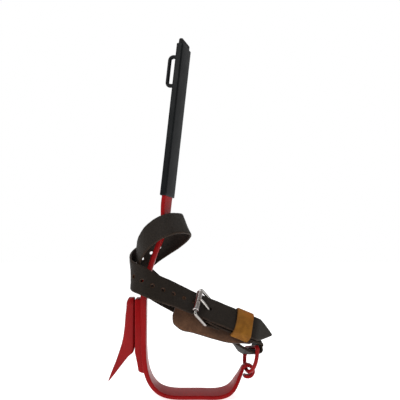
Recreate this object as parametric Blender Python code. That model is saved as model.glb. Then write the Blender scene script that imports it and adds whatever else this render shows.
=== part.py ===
"""A climbing iron: forged leg iron with gaff, sliding sleeve, swinging ring and a buckled foot strap."""

import math

import bmesh
import bpy
import numpy as np
from mathutils import Matrix, Vector

MM = 0.001
GAP = 0.3  # clearance between neighbouring pieces, in mm like every size below

# Stirrup and shank: centre line in the X-Z plane as (x, z, width in Y, thickness)
TREAD_W, TREAD_T = 36.0, 4.8
SHANK_W, SHANK_T = 24.0, 5.0
STIRRUP = [
    (-61.2, 112.0, 26.0, 7.0),
    (-61.2, 72.0, 27.0, 6.8),
    (-60.6, 46.0, 30.0, 6.2),
    (-57.4, 25.5, 33.5, 5.6),
    (-50.4, 10.6, 35.5, 5.1),
    (-41.2, 2.4, TREAD_W, TREAD_T),
    (-28.0, -1.6, TREAD_W, TREAD_T),
    (-10.0, -2.4, TREAD_W, TREAD_T),
    (10.0, -2.4, TREAD_W, TREAD_T),
    (28.0, -2.1, 35.5, TREAD_T),
    (38.6, 1.0, 34.0, TREAD_T),
    (44.6, 5.8, 31.0, 4.6),
    (49.6, 13.6, 25.0, 4.4),
    (53.6, 21.2, 17.0, 4.1),
]
SHANK_BEND = [
    (-60.8, 123.0),
    (-58.9, 134.0),
    (-55.6, 143.0),
    (-52.5, 152.0),
    (-49.5, 161.0),
    (-46.2, 170.0),
    (-42.2, 180.0),
    (-38.9, 190.0),
    (-36.7, 200.0),
    (-35.5, 210.0),
]
TWIST_DEG = 21.0  # the shank turns this far about its own length between the two heights below
TWIST_FROM, TWIST_TO = 164.0, 228.0
EYE_X, EYE_Z, EYE_R, EYE_T, EYE_W = 62.8, 25.3, 6.7, 4.0, 10.0
EYE_TURN = 283.0

# Sleeve on the shank: axis from its lower end, leaning in the X-Z plane
SLEEVE_FOOT = (-33.4, 0.0, 234.0)
SLEEVE_LEAN_DEG = 6.44
SLEEVE_LEN, SLEEVE_W, SLEEVE_T, SLEEVE_WALL = 180.0, 29.2, 8.4, 1.4
SHANK_IN_SLEEVE = 142.0
HOLE_PITCH, HOLE_R, HOLE_COUNT = 12.7, 2.9, 9
SCREW_AT = (19.05, 44.45)
LOOP_TOP, LOOP_FOOT, LOOP_OUT, LOOP_R = 169.0, 134.0, 12.3, 2.3
CAP_DEPTH, CAP_RISE = 12.0, 6.4

# Gaff seat and gaff
SEAT_HALF_W, SEAT_TOP = 12.0, 112.5
GAFF_BACK = -71.9
GAFF = [  # outer edge x, z, inner edge x, z, half width in Y
    (-79.6, 113.2, GAFF_BACK, 113.2, 8.3),
    (-81.9, 108.6, GAFF_BACK, 108.6, 9.0),
    (-82.3, 99.5, GAFF_BACK, 99.5, 9.0),
    (-83.2, 94.0, GAFF_BACK, 94.0, 9.0),
    (-84.2, 80.0, GAFF_BACK, 80.0, 9.0),
    (-85.9, 67.0, GAFF_BACK, 66.0, 9.0),
    (-87.9, 58.0, GAFF_BACK, 56.0, 8.8),
    (-90.9, 48.8, -73.4, 48.0, 8.4),
    (-94.5, 38.2, -79.4, 43.2, 7.2),
    (-98.9, 27.4, -87.4, 33.0, 5.4),
    (-102.1, 19.2, -96.2, 21.4, 3.0),
    (-104.2, 13.2, -103.2, 12.8, 0.6),
]
GAFF_SCREW_Z = (99.0, 68.0)

# D-shaped ring: its round side is in the eye, its straight bar on top holds the strap
RING_ROD, RING_R, RING_RISE, RING_BEND = 2.3, 18.7, 9.8, 4.2
RING_BAR = (0.25, -0.943, 0.22)
RING_UP = (0.14, 0.26, 0.955)
RING_SHIFT = -1.5  # along the eye
RING_ROLL = 16.0  # degrees the ring is rolled round in the eye

# Straight run of the strap: a point on it, its direction and which way it faces
STRAP_W, STRAP_T = 31.8, 3.2
RUN_AT = (33.9, -14.9, 93.3)
RUN_DIR = (0.917, 0.097, -0.387)
RUN_FACE_TILT = 46.0
TIP_SHOULDER, TIP_END = 44.5, 61.5
SLOT_HALF = 5.9  # from the tongue's place to where the row of holes is measured from
SLOT_LEFT, SLOT_RIGHT, SLOT_LEAN = -22.9, -15.9, (1.28, 0.78)  # the tongue's slot, cut on the slant
STRAP_HOLE_R, STRAP_HOLE_PITCH, STRAP_HOLE_COUNT = 2.2, 13.4, 13

# Buckle: heel bar position along the straight run and under it
HEEL_S, HEEL_UNDER = -16.5, 7.5
FRAME_L, FRAME_TILT, FRAME_ROD, FRAME_HALF, FRAME_BEND = 24.4, 34.0, 1.8, 18.8, 4.0
ROLLER_R, ROLLER_BORE, ROLLER_HALF = 3.6, 2.2, 14.0
TONGUE_W, TONGUE_T, TONGUE_EYE = 3.4, 2.6, 3.5
CHAPE_UNDER, CHAPE_BACK_UNDER, CHAPE_BACK_END = 5.7, 9.3, 2.0

# Keeper
KEEPER_S, KEEPER_W, KEEPER_T = 24.5, 21.6, 2.4

# Pad behind the buckle
PAD_T = 3.6


def unit(v):
    v = np.asarray(v, float)
    return v / np.linalg.norm(v)


LEAN = math.radians(SLEEVE_LEAN_DEG)
AXIS = np.array([math.sin(LEAN), 0.0, math.cos(LEAN)])
FLAT = np.array([math.cos(LEAN), 0.0, -math.sin(LEAN)])
ACROSS = np.array([0.0, 1.0, 0.0])
TWIST = math.radians(TWIST_DEG)
BROAD = math.sin(TWIST) * FLAT + math.cos(TWIST) * ACROSS
THIN = math.cos(TWIST) * FLAT - math.sin(TWIST) * ACROSS
RUN_T = unit(RUN_DIR)
FACE = np.array([0.0, -math.cos(math.radians(RUN_FACE_TILT)), math.sin(math.radians(RUN_FACE_TILT))])
RUN_N = unit(FACE - np.dot(FACE, RUN_T) * RUN_T)
RUN_W = np.cross(RUN_N, RUN_T)
RUN_O = np.array(RUN_AT)
EYE = np.array([EYE_X, 0.0, EYE_Z])
HEEL = RUN_O + HEEL_S * RUN_T - HEEL_UNDER * RUN_N


def clear_scene():
    for thing in list(bpy.data.objects):
        bpy.data.objects.remove(thing, do_unlink=True)


def material(name, colour, metallic, roughness):
    made = bpy.data.materials.new(name)
    made.use_nodes = True
    shader = made.node_tree.nodes["Principled BSDF"]
    shader.inputs["Base Color"].default_value = (*colour, 1.0)
    shader.inputs["Metallic"].default_value = metallic
    shader.inputs["Roughness"].default_value = roughness
    return made


def solid(name, points, faces, look, origin=(0.0, 0.0, 0.0), smooth=True):
    """One named closed body; points are in mm, the origin is where the piece turns or slides."""
    origin = np.asarray(origin, float)
    mesh = bpy.data.meshes.new(name)
    mesh.from_pydata([tuple((np.asarray(p) - origin) * MM) for p in points], [], faces)
    work = bmesh.new()
    work.from_mesh(mesh)
    bmesh.ops.remove_doubles(work, verts=work.verts, dist=0.00001)
    bmesh.ops.recalc_face_normals(work, faces=work.faces)
    if work.calc_volume(signed=True) < 0:
        bmesh.ops.reverse_faces(work, faces=work.faces)
    work.to_mesh(mesh)
    work.free()
    made = bpy.data.objects.new(name, mesh)
    made.location = Vector(origin * MM)
    bpy.context.collection.objects.link(made)
    made.data.materials.append(look)
    for face in made.data.polygons:
        face.use_smooth = smooth
    if smooth:
        sharpen(made)
    return made


def sharpen(made, degrees=32.0):
    work = bmesh.new()
    work.from_mesh(made.data)
    for edge in work.edges:
        if len(edge.link_faces) == 2 and edge.calc_face_angle(0.0) > math.radians(degrees):
            edge.smooth = False
    work.to_mesh(made.data)
    work.free()


def loft(rings, closed=False):
    """Points and faces of a skin over equal rings, with flat ends unless it closes on itself."""
    points = [p for ring in rings for p in ring]
    count, size = len(rings), len(rings[0])
    faces = []
    for i in range(count if closed else count - 1):
        a, b = i * size, ((i + 1) % count) * size
        for k in range(size):
            m = (k + 1) % size
            faces.append((a + k, a + m, b + m, b + k))
    if not closed:
        faces.append(tuple(range(size)))
        faces.append(tuple(range((count - 1) * size, count * size)))
    return points, faces


def tube(outer, inner):
    """A pipe between two equal stacks of rings, open at both ends."""
    points = [p for ring in outer for p in ring] + [p for ring in inner for p in ring]
    count, size = len(outer), len(outer[0])
    shift = count * size
    faces = []
    for i in range(count - 1):
        a, b = i * size, (i + 1) * size
        for k in range(size):
            m = (k + 1) % size
            faces.append((a + k, a + m, b + m, b + k))
            faces.append((shift + a + k, shift + b + k, shift + b + m, shift + a + m))
    for row in (0, (count - 1) * size):
        for k in range(size):
            m = (k + 1) % size
            faces.append((row + k, row + m, shift + row + m, shift + row + k))
    return points, faces


def rounded(width, thick, radius, steps=2):
    """A rounded rectangle as (across, through) pairs."""
    radius = min(radius, width * 0.49, thick * 0.49)
    pairs = []
    corners = ((1, 1, 0.0), (-1, 1, 90.0), (-1, -1, 180.0), (1, -1, 270.0))
    for sx, sy, start in corners:
        cx, cy = sx * (width / 2 - radius), sy * (thick / 2 - radius)
        for k in range(steps + 1):
            a = math.radians(start + 90.0 * k / steps)
            pairs.append((cx + radius * math.cos(a), cy + radius * math.sin(a)))
    return pairs


def circle(radius, steps):
    return [
        (radius * math.cos(2 * math.pi * k / steps), radius * math.sin(2 * math.pi * k / steps))
        for k in range(steps)
    ]


def placed(pairs, at, across, through):
    at, across, through = (np.asarray(v, float) for v in (at, across, through))
    return [at + u * across + v * through for u, v in pairs]


def spline(knots, step):
    """A natural cubic through rows of values, walked at about one step; the first three are x, y, z."""
    knots = np.asarray(knots, float)
    chord = np.concatenate([[0.0], np.cumsum(np.linalg.norm(np.diff(knots[:, :3], axis=0), axis=1))])
    n = len(knots)
    h = np.diff(chord)
    a, b = np.zeros((n, n)), np.zeros((n, knots.shape[1]))
    a[0, 0] = a[-1, -1] = 1.0
    for i in range(1, n - 1):
        a[i, i - 1], a[i, i], a[i, i + 1] = h[i - 1], 2 * (h[i - 1] + h[i]), h[i]
        b[i] = 6 * ((knots[i + 1] - knots[i]) / h[i] - (knots[i] - knots[i - 1]) / h[i - 1])
    bend = np.linalg.solve(a, b)
    rows = []
    total = max(2, int(round(chord[-1] / step)))
    for s in np.linspace(0.0, chord[-1], total + 1):
        i = min(int(np.searchsorted(chord, s, side="right")) - 1, n - 2)
        p, q = (chord[i + 1] - s) / h[i], (s - chord[i]) / h[i]
        rows.append(
            p * knots[i] + q * knots[i + 1]
            + ((p**3 - p) * bend[i] + (q**3 - q) * bend[i + 1]) * h[i] ** 2 / 6
        )
    return np.array(rows)


def tangents(points):
    points = np.asarray(points, float)
    along = np.gradient(points, axis=0)
    return along / np.linalg.norm(along, axis=1)[:, None]


def rod(path, radius, steps=10, closed=False, normal=None):
    """Rings of a round rod along a path that lies in one plane with the given normal."""
    path = np.asarray(path, float)
    if closed:
        along = np.roll(path, -1, axis=0) - np.roll(path, 1, axis=0)
        along = along / np.linalg.norm(along, axis=1)[:, None]
    else:
        along = tangents(path)
    normal = unit(normal)
    rings = []
    for at, t in zip(path, along):
        side = unit(np.cross(normal, t))
        rings.append(placed(circle(radius, steps), at, normal, side))
    return rings


def cut(target, cutters, operation="DIFFERENCE"):
    for cutter in cutters:
        cutter.hide_render = True
        cutter.display_type = "WIRE"
        boolean = target.modifiers.new("cut", "BOOLEAN")
        boolean.operation = operation
        boolean.solver = "EXACT"
        boolean.object = cutter
    bpy.context.view_layer.update()
    shaped = bpy.data.meshes.new_from_object(
        target.evaluated_get(bpy.context.evaluated_depsgraph_get())
    )
    look = target.data.materials[0]
    target.modifiers.clear()
    target.data = shaped
    shaped.materials.clear()
    shaped.materials.append(look)
    for cutter in cutters:
        bpy.data.objects.remove(cutter, do_unlink=True)
    work = bmesh.new()
    work.from_mesh(shaped)
    bmesh.ops.remove_doubles(work, verts=work.verts, dist=0.00001)
    bmesh.ops.dissolve_degenerate(work, edges=work.edges, dist=0.00001)
    work.to_mesh(shaped)
    work.free()
    sharpen(target)


def peg(at, along, radius, length, steps=16, look=None, name="cutter"):
    """A round bar centred on a point."""
    along = unit(along)
    side = unit(np.cross(along, (0.3, 0.5, 0.81)))
    other = np.cross(along, side)
    rings = [
        placed(circle(radius, steps), np.asarray(at) + d * along, side, other)
        for d in (-length / 2, length / 2)
    ]
    return solid(name, *loft(rings), look or CUTTER, smooth=False)


def block(at, axes, halves, name="cutter"):
    """A box cutter from its centre, three directions and three half sizes."""
    at = np.asarray(at, float)
    x, y, z = (unit(v) * h for v, h in zip(axes, halves))
    rings = [[at + i * x + j * y + k * z for i, j in ((-1, -1), (1, -1), (1, 1), (-1, 1))] for k in (-1, 1)]
    return solid(name, *loft(rings), CUTTER, smooth=False)


def screw(name, at, along, shank_r, shank_len, head_r, head_len, look, socket_r=0.0):
    """A headed screw: `at` is under the head, `along` points from the head to the tip."""
    at, along = np.asarray(at, float), unit(along)
    side = unit(np.cross(along, (0.0, 1.0, 0.0)))
    other = np.cross(along, side)
    profile = [
        (shank_len, shank_r - 0.5), (shank_len - 0.5, shank_r), (0.0, shank_r), (0.0, head_r),
        (-head_len * 0.6, head_r), (-head_len * 0.9, head_r * 0.8), (-head_len, head_r * 0.66),
    ]
    rings = [placed(circle(r, 20), at + d * along, side, other) for d, r in profile]
    made = solid(name, *loft(rings), look, origin=at)
    if socket_r:
        depths = (-head_len - 1, -head_len * 0.4)
        flats = [placed(circle(socket_r, 6), at + d * along, side, other) for d in depths]
        cut(made, [solid("cutter", *loft(flats), CUTTER, smooth=False)])
    return made


def leg_iron(look):
    """Shank, twisted S-bend, stirrup and rolled eye in one forging, with the gaff's seat on it."""
    foot = np.array(SLEEVE_FOOT)
    knots = []
    for s in (SHANK_IN_SLEEVE, 100.0, 60.0, 25.0, 0.0, -11.0):
        x, _, z = foot + s * AXIS
        knots.append((x, 0.0, z, SHANK_W, SHANK_T))
    for x, z in reversed(SHANK_BEND):
        k = (z - SHANK_BEND[0][1]) / (SHANK_BEND[-1][1] - SHANK_BEND[0][1])
        knots.append((x, 0.0, z, 26.0 + (SHANK_W - 26.0) * k, 6.6 + (SHANK_T - 6.6) * k))
    for x, z, w, t in STIRRUP:
        knots.append((x, 0.0, z, w, t))
    turn0 = math.radians(153.0)
    start = (EYE_X + EYE_R * math.cos(turn0), EYE_Z + EYE_R * math.sin(turn0))
    knots.append((start[0], 0.0, start[1], EYE_W + 0.8, EYE_T))
    rows = list(spline(knots, 4.2))
    for k in range(1, 20):
        a = turn0 - math.radians(EYE_TURN) * k / 19
        rows.append((EYE_X + EYE_R * math.cos(a), 0.0, EYE_Z + EYE_R * math.sin(a), EYE_W, EYE_T))
    rows = np.array(rows)
    rows[:, 1] = 0.0
    along = tangents(rows[:, :3])
    rings = []
    for (x, y, z, w, t), d in zip(rows, along):
        turn = min(max((z - TWIST_FROM) / (TWIST_TO - TWIST_FROM), 0.0), 1.0)
        turn = TWIST * turn * turn * (3 - 2 * turn) if x < 0 else 0.0
        flat = np.cross(d, ACROSS)
        if x < -30.0:
            flat = flat if flat[0] > 0 else -flat
        across = math.cos(turn) * ACROSS + math.sin(turn) * flat
        through = np.cross(d, across)
        rings.append(placed(rounded(w, t, 1.5), (x, y, z), across, through))
    made = solid("leg_iron", *loft(rings), look)
    outline = [
        (-60.2, SEAT_TOP), (-70.3, SEAT_TOP), (-71.5, SEAT_TOP - 1.6), (-71.5, 50.0), (-70.7, 46.0),
        (-68.6, 36.0), (-67.3, 27.8), (-65.4, 25.9), (-61.2, 24.6), (-57.6, 22.2), (-57.2, 27.0),
        (-59.4, 40.0), (-60.2, 60.0),
    ]
    stack = []
    half = SEAT_HALF_W
    for y, inset in ((-half, 1.2), (-half + 1.2, 0.0), (half - 1.2, 0.0), (half, 1.2)):
        stack.append([
            (x + inset * (0.9 if x < -63 else 0.0), y, z + (inset * 0.8 if z < 40 else 0.0))
            for x, z in outline
        ])
    seat = solid("cutter", *loft(stack), look, smooth=False)
    cut(made, [seat], "UNION")
    holes = [peg((-66.6, 0.0, z), (1, 0, 0), 3.3, 13.0) for z in GAFF_SCREW_Z]
    for k in range(HOLE_COUNT):
        at = foot + (SCREW_AT[0] + k * HOLE_PITCH) * AXIS
        holes.append(peg(at, THIN, HOLE_R, 12.0, 12))
    cut(made, holes)
    return made


def gaff(look):
    rings = []
    for ox, oz, ix, iz, h in GAFF:
        mx, mz = ox * 0.62 + ix * 0.38, oz * 0.62 + iz * 0.38
        rings.append([
            (ix, -h * 0.93, iz), (ix, h * 0.93, iz),
            (ix * 0.9 + ox * 0.1, h, iz * 0.9 + oz * 0.1), (mx, h, mz),
            (ox * 0.93 + ix * 0.07, h * 0.62, oz * 0.93 + iz * 0.07), (ox, h * 0.3, oz), (ox, -h * 0.3, oz),
            (ox * 0.93 + ix * 0.07, -h * 0.62, oz * 0.93 + iz * 0.07), (mx, -h, mz),
            (ix * 0.9 + ox * 0.1, -h, iz * 0.9 + oz * 0.1),
        ])
    made = solid("gaff", *loft(rings), look)
    cutters = []
    for z in GAFF_SCREW_Z:
        cutters.append(peg((-78.0, 0.0, z), (1, 0, 0), 3.3, 30.0))
        cutters.append(peg((-86.8, 0.0, z), (1, 0, 0), 5.2, 20.0, 20))
    cut(made, cutters)
    return made


def sleeve(look):
    foot = np.array(SLEEVE_FOOT)
    outer, inner = [], []
    stops = (0.0, 0.5), (0.6, 0.0), (SLEEVE_LEN / 3, 0.0), (SLEEVE_LEN * 2 / 3, 0.0)
    for s, shrink in stops + ((SLEEVE_LEN - 0.8, 0.0), (SLEEVE_LEN, 0.6)):
        at = foot + s * AXIS
        outer.append(placed(rounded(SLEEVE_W - shrink, SLEEVE_T - shrink, 1.9, 3), at, BROAD, THIN))
        bore = rounded(SLEEVE_W - 2 * SLEEVE_WALL, SLEEVE_T - 2 * SLEEVE_WALL, 0.9, 3)
        inner.append(placed(bore, at, BROAD, THIN))
    made = solid("shank_sleeve", *tube(outer, inner), look, origin=foot)
    cut(made, [peg(foot + s * AXIS - THIN * SLEEVE_T / 2, THIN, 3.2, 4.0) for s in SCREW_AT])
    return made


def sleeve_parts(black, steel):
    foot = np.array(SLEEVE_FOOT)
    rings = []
    wide, thin = SLEEVE_W - 2 * SLEEVE_WALL - 2 * GAP, SLEEVE_T - 2 * SLEEVE_WALL - 2 * GAP
    stops = (-CAP_DEPTH, 0.8), (-CAP_DEPTH + 1, 0.0), (CAP_RISE - 2.0, 0.0), (CAP_RISE - 0.7, 0.6)
    for s, shrink in stops + ((CAP_RISE, 2.0),):
        at = foot + (SLEEVE_LEN + s) * AXIS
        rings.append(placed(rounded(wide - shrink, thin - shrink, 1.4, 3), at, BROAD, THIN))
    solid("sleeve_cap", *loft(rings), black, origin=foot)
    face, bend = SLEEVE_T / 2 + GAP, 4.2
    path = []
    reach = SLEEVE_T / 2 + LOOP_OUT
    path.append((face, LOOP_TOP))
    path.append((face + 4.0, LOOP_TOP))
    for k in range(7):
        a = math.radians(90.0 - 90.0 * k / 6)
        path.append((reach - bend + bend * math.cos(a), LOOP_TOP - bend + bend * math.sin(a)))
    path.append((reach, (LOOP_TOP + LOOP_FOOT) / 2))
    for k in range(7):
        a = math.radians(-90.0 * k / 6)
        path.append((reach - bend + bend * math.cos(a), LOOP_FOOT + bend + bend * math.sin(a)))
    path.append((face + 4.0, LOOP_FOOT))
    path.append((face, LOOP_FOOT))
    line = [foot + s * AXIS - out * THIN for out, s in path]
    solid("strap_loop", *loft(rod(line, LOOP_R, 14, normal=BROAD)), black, origin=foot)
    for name, s in zip(("sleeve_screw_lower", "sleeve_screw_upper"), SCREW_AT):
        at = foot + s * AXIS - (SLEEVE_T / 2 + GAP) * THIN
        screw(name, at, THIN, 2.8, SLEEVE_WALL + GAP, 5.2, 3.2, steel, 1.9)


def ring_frame():
    """The ring's bar direction, its up direction, the middle of its round side and the middle of its bar."""
    bar = unit(RING_BAR)
    up = np.array(RING_UP)
    up = unit(up - np.dot(up, bar) * bar)
    roll = math.radians(RING_ROLL)
    hub = EYE + np.array([0.0, RING_SHIFT, 0.0]) + RING_R * (math.sin(roll) * bar + math.cos(roll) * up)
    return bar, up, hub, hub + RING_RISE * up


def ring(look):
    bar, up, hub, _ = ring_frame()
    path = []
    for k in range(23):
        a = math.radians(180.0 + 180.0 * k / 22)
        path.append(hub + RING_R * (math.cos(a) * bar + math.sin(a) * up))
    r = RING_BEND
    for side, start in ((1, 0.0), (-1, 90.0)):
        for k in range(7):
            a = math.radians(start + 90.0 * k / 6)
            over, rise = side * (RING_R - r) + r * math.cos(a), RING_RISE - r + r * math.sin(a)
            path.append(hub + over * bar + rise * up)
    rings = rod(path, RING_ROD, 14, True, np.cross(bar, up))
    return solid("stirrup_ring", *loft(rings, True), look, origin=EYE)


def strap_rings(rows, along, taper=None):
    """Rings of the strap from rows of x, y, z and a hint of which way its width runs."""
    rings = []
    for i, (row, d) in enumerate(zip(rows, along)):
        hint = row[3:6]
        across = unit(hint - np.dot(hint, d) * d)
        w = STRAP_W if taper is None else STRAP_W * taper[i]
        rings.append(placed(rounded(w, STRAP_T, 0.8, 1), row[:3], across, np.cross(across, d)))
    return rings


def on_run(s, under=0.0, across=0.0):
    return RUN_O + s * RUN_T - under * RUN_N + across * RUN_W


def hinted(at, w):
    return (*at, *w)


# Where the strap runs after the ring: behind the shank, once round it, then along the front
COIL = [
    ((57.0, 0.0, 50.2), (-0.22, 0.95, -0.22)),
    ((49.5, 3.8, 55.0), (-0.14, 0.98, -0.12)),
    ((41.5, 7.4, 62.6), (0.02, 0.93, 0.34)),
    ((30.0, 11.2, 74.4), (0.22, 0.66, 0.72)),
    ((0.0, 15.6, 95.0), (0.40, 0.50, 0.77)),
    ((-30.0, 20.2, 111.6), (0.44, 0.44, 0.78)),
    ((-50.5, 23.2, 124.2), (0.46, 0.30, 0.83)),
    ((-61.6, 18.0, 135.6), (0.30, 0.27, 0.92)),
    ((-68.2, 6.4, 149.0), (0.05, 0.54, 0.84)),
    ((-67.4, -4.4, 164.8), (-0.11, 0.66, 0.74)),
    ((-59.6, -18.4, 180.8), (-0.25, 0.70, 0.67)),
    ((-41.9, -25.6, 195.4), (-0.37, 0.62, 0.69)),
    ((-27.6, -23.6, 200.6), (-0.37, 0.56, 0.74)),
    ((-16.8, -14.0, 201.4), (-0.36, 0.56, 0.75)),
    ((-11.0, 0.0, 199.0), (-0.30, 0.56, 0.77)),
    ((-14.0, 11.0, 193.6), (-0.34, 0.56, 0.76)),
    ((-22.6, 19.6, 185.8), (-0.37, 0.58, 0.73)),
    ((-41.4, 29.0, 173.8), (-0.36, 0.50, 0.79)),
    ((-61.0, 31.4, 161.8), (-0.22, 0.22, 0.95)),
    ((-73.4, 17.0, 152.4), (-0.10, 0.06, 0.99)),
    ((-75.9, -2.2, 145.0), (-0.05, -0.06, 0.99)),
    ((-71.0, -16.8, 139.2), (0.03, 0.12, 0.99)),
    ((-61.0, -25.0, 134.2), (0.17, 0.42, 0.89)),
    ((-48.8, -27.6, 128.6), (0.24, 0.48, 0.84)),
]
RING_SIDE = [
    ((71.0, -5.0, 71.2), (0.03, 0.86, 0.50)),
    ((75.4, 0.6, 64.4), (-0.13, 0.97, 0.10)),
]
FOLD_R = 6.8  # the strap's middle round the ring's bar


def strap_path():
    """The whole strap from its folded end to its tip: rows, directions and the two places it is parted."""
    wrap = FRAME_ROD + 0.55 + STRAP_T / 2
    knots = [hinted(on_run(HEEL_S + CHAPE_BACK_END + 14.0, CHAPE_BACK_UNDER), RUN_W)]
    knots.append(hinted(on_run(HEEL_S + 9.0, CHAPE_BACK_UNDER + 0.2), RUN_W))
    for a in np.linspace(-70.0, -290.0, 9):
        r = math.radians(a)
        knots.append(hinted(HEEL + wrap * (math.cos(r) * RUN_T + math.sin(r) * RUN_N), RUN_W))
    for s in (9.0, 16.0, 28.0, 40.0, 50.5):
        knots.append(hinted(on_run(HEEL_S + s, CHAPE_UNDER - (0.3 if s < 10 else 0.0)), RUN_W))
    knots += [hinted(at, w) for at, w in RING_SIDE]
    bar, up, _, mid = ring_frame()
    out = unit(np.cross(bar, RUN_T))
    right = unit(np.cross(out, bar))
    parts = [len(knots) - 1]
    for a in np.linspace(20.0, -92.0, 6):
        r = math.radians(a)
        turned = mid + FOLD_R * (math.cos(r) * right + math.sin(r) * out)
        knots.append(hinted(turned, 0.005 * max(a + 48.0, 0.0) * up - bar))
    parts.append(len(knots))
    knots += [hinted(at, w) for at, w in COIL]
    knots.append(hinted(on_run(-66.0) + (0.0, 0.0, 0.6), (0.23, 0.62, 0.75)))
    for s in (-46.0, -20.0, 10.0, 30.0, TIP_SHOULDER):
        knots.append(hinted(on_run(s), RUN_W))
    rows = spline(knots, 3.0)
    ends = [int(np.argmin(np.linalg.norm(rows[:, :3] - np.array(knots[p][:3]), axis=1))) for p in parts]
    return rows, tangents(rows[:, :3]), ends


def strap_piece(name, look, rows, along, origin=(0.0, 0.0, 0.0), taper=None):
    return solid(name, *loft(strap_rings(rows, along, taper)), look, origin=origin)


def parted(rows, along, first, last):
    """The rows between two places, its start moved off the place by the gap between two pieces."""
    piece, lead = rows[first:last + 1].copy(), along[first:last + 1].copy()
    if first:
        piece[0, :3] += (GAP + 0.1) * lead[0]
    return piece, lead


def foot_strap(look, path):
    rows, along, ends = path
    rows, along = parted(rows, along, ends[1], len(rows) - 1)
    rows, along = list(rows), list(along)
    taper = [1.0] * len(rows)
    steps = 8
    for k in range(1, steps + 1):
        f = k / steps
        rows.append(np.array(hinted(on_run(TIP_SHOULDER + f * (TIP_END - TIP_SHOULDER)), RUN_W)))
        along.append(RUN_T)
        taper.append(max(0.07, 1.0 - 0.93 * (0.12 * f + 0.88 * f**1.15)))
    rows, along = np.array(rows), np.array(along)
    made = strap_piece("foot_strap", look, rows, along, taper=taper)
    walk = np.concatenate([[0.0], np.cumsum(np.linalg.norm(np.diff(rows[:, :3], axis=0), axis=1))])
    slot_s = walk[-1] - (TIP_END - HEEL_S) - 3.0
    ends = []
    for n in (-4.0, 4.0):
        left, right = on_run(SLOT_LEFT - SLOT_LEAN[0] * n, -n), on_run(SLOT_RIGHT - SLOT_LEAN[1] * n, -n)
        ends.append([p + side * 2.1 * RUN_W for p, side in ((left, -1), (right, -1), (right, 1), (left, 1))])
    cutters = [solid("cutter", *loft(ends), CUTTER, smooth=False)]
    for k in range(1, STRAP_HOLE_COUNT + 1):
        s = slot_s - SLOT_HALF - k * STRAP_HOLE_PITCH
        i = int(np.argmin(np.abs(walk - s)))
        f = (s - walk[i]) * along[i]
        w = unit(rows[i, 3:6] - np.dot(rows[i, 3:6], along[i]) * along[i])
        cutters.append(peg(rows[i, :3] + f, np.cross(w, along[i]), STRAP_HOLE_R, 5.0, 10))
    cut(made, cutters)
    return made


def buckle_strap(look, path):
    """The short end: folded round the heel bar, then forward under the billet to the ring."""
    rows, along, ends = path
    made = strap_piece("buckle_strap", look, *parted(rows, along, 0, ends[0]))
    slot = block(HEEL - 1.0 * RUN_T, (RUN_T, RUN_W, RUN_N), (9.0, 2.6, 9.0))
    pegs = [peg(on_run(HEEL_S + 12.5, 7.0, v), RUN_N, 1.7, 16.0, 12) for v in (-8.5, 8.5)]
    cut(made, [slot] + pegs)
    return made


def strap_bight(look, path):
    """The turn round the ring's bar; it goes with the ring."""
    rows, along, ends = path
    return strap_piece("strap_bight", look, *parted(rows, along, ends[0], ends[1]), origin=EYE)


def buckle(steel, bright):
    arm = -math.cos(math.radians(FRAME_TILT)) * RUN_T + math.sin(math.radians(FRAME_TILT)) * RUN_N
    normal = np.cross(RUN_W, arm)
    path = []
    r = FRAME_BEND
    for side, front, start in ((1, 0, 270.0), (1, 1, 0.0), (-1, 1, 90.0), (-1, 0, 180.0)):
        cu, cv = side * (FRAME_HALF - r), (FRAME_L - r if front else r)
        for k in range(7):
            a = math.radians(start + 90.0 * k / 6)
            path.append(HEEL + RUN_W * (cu + r * math.cos(a)) + arm * (cv + r * math.sin(a)))
    solid("buckle_frame", *loft(rod(path, FRAME_ROD, 12, True, normal), True), steel, origin=HEEL)
    at = HEEL + FRAME_L * arm
    ends = (ROLLER_HALF - 0.6, ROLLER_R), (ROLLER_HALF, ROLLER_R - 0.5)
    sizes = [(-v, q) for v, q in ends[::-1]] + list(ends)
    outer = [placed(circle(q, 20), at + v * RUN_W, arm, normal) for v, q in sizes]
    inner = [placed(circle(ROLLER_BORE, 20), at + v * RUN_W, arm, normal) for v in
             (-ROLLER_HALF, -ROLLER_HALF + 0.6, ROLLER_HALF - 0.6, ROLLER_HALF)]
    solid("buckle_roller", *tube(outer, inner), bright, origin=at)
    over = ROLLER_R + TONGUE_T / 2 + 0.25
    lead = math.asin((over - TONGUE_EYE) / FRAME_L)
    beta = math.radians(180.0 - FRAME_TILT) - lead
    d = math.cos(beta) * RUN_T + math.sin(beta) * RUN_N
    n = math.sin(beta) * RUN_T - math.cos(beta) * RUN_N
    line = []
    for k in range(12):
        a = math.radians(-285.0 + 285.0 * k / 11)
        line.append(HEEL + TONGUE_EYE * (math.cos(a) * n + math.sin(a) * d))
    for q in (4.0, 9.0, 14.0, 19.0, FRAME_L - 1.0, FRAME_L + 1.0, FRAME_L + 2.2):
        line.append(HEEL + TONGUE_EYE * n + q * d)
    along = tangents(line)
    rings = []
    for i, (at, t) in enumerate(zip(line, along)):
        k = min(1.0, 0.55 + 0.45 * (len(line) - 1 - i) / 2)
        rings.append(placed(rounded(TONGUE_W * k, TONGUE_T * k, 1.0), at, RUN_W, np.cross(RUN_W, t)))
    solid("buckle_tongue", *loft(rings), steel, origin=HEEL)


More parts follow.
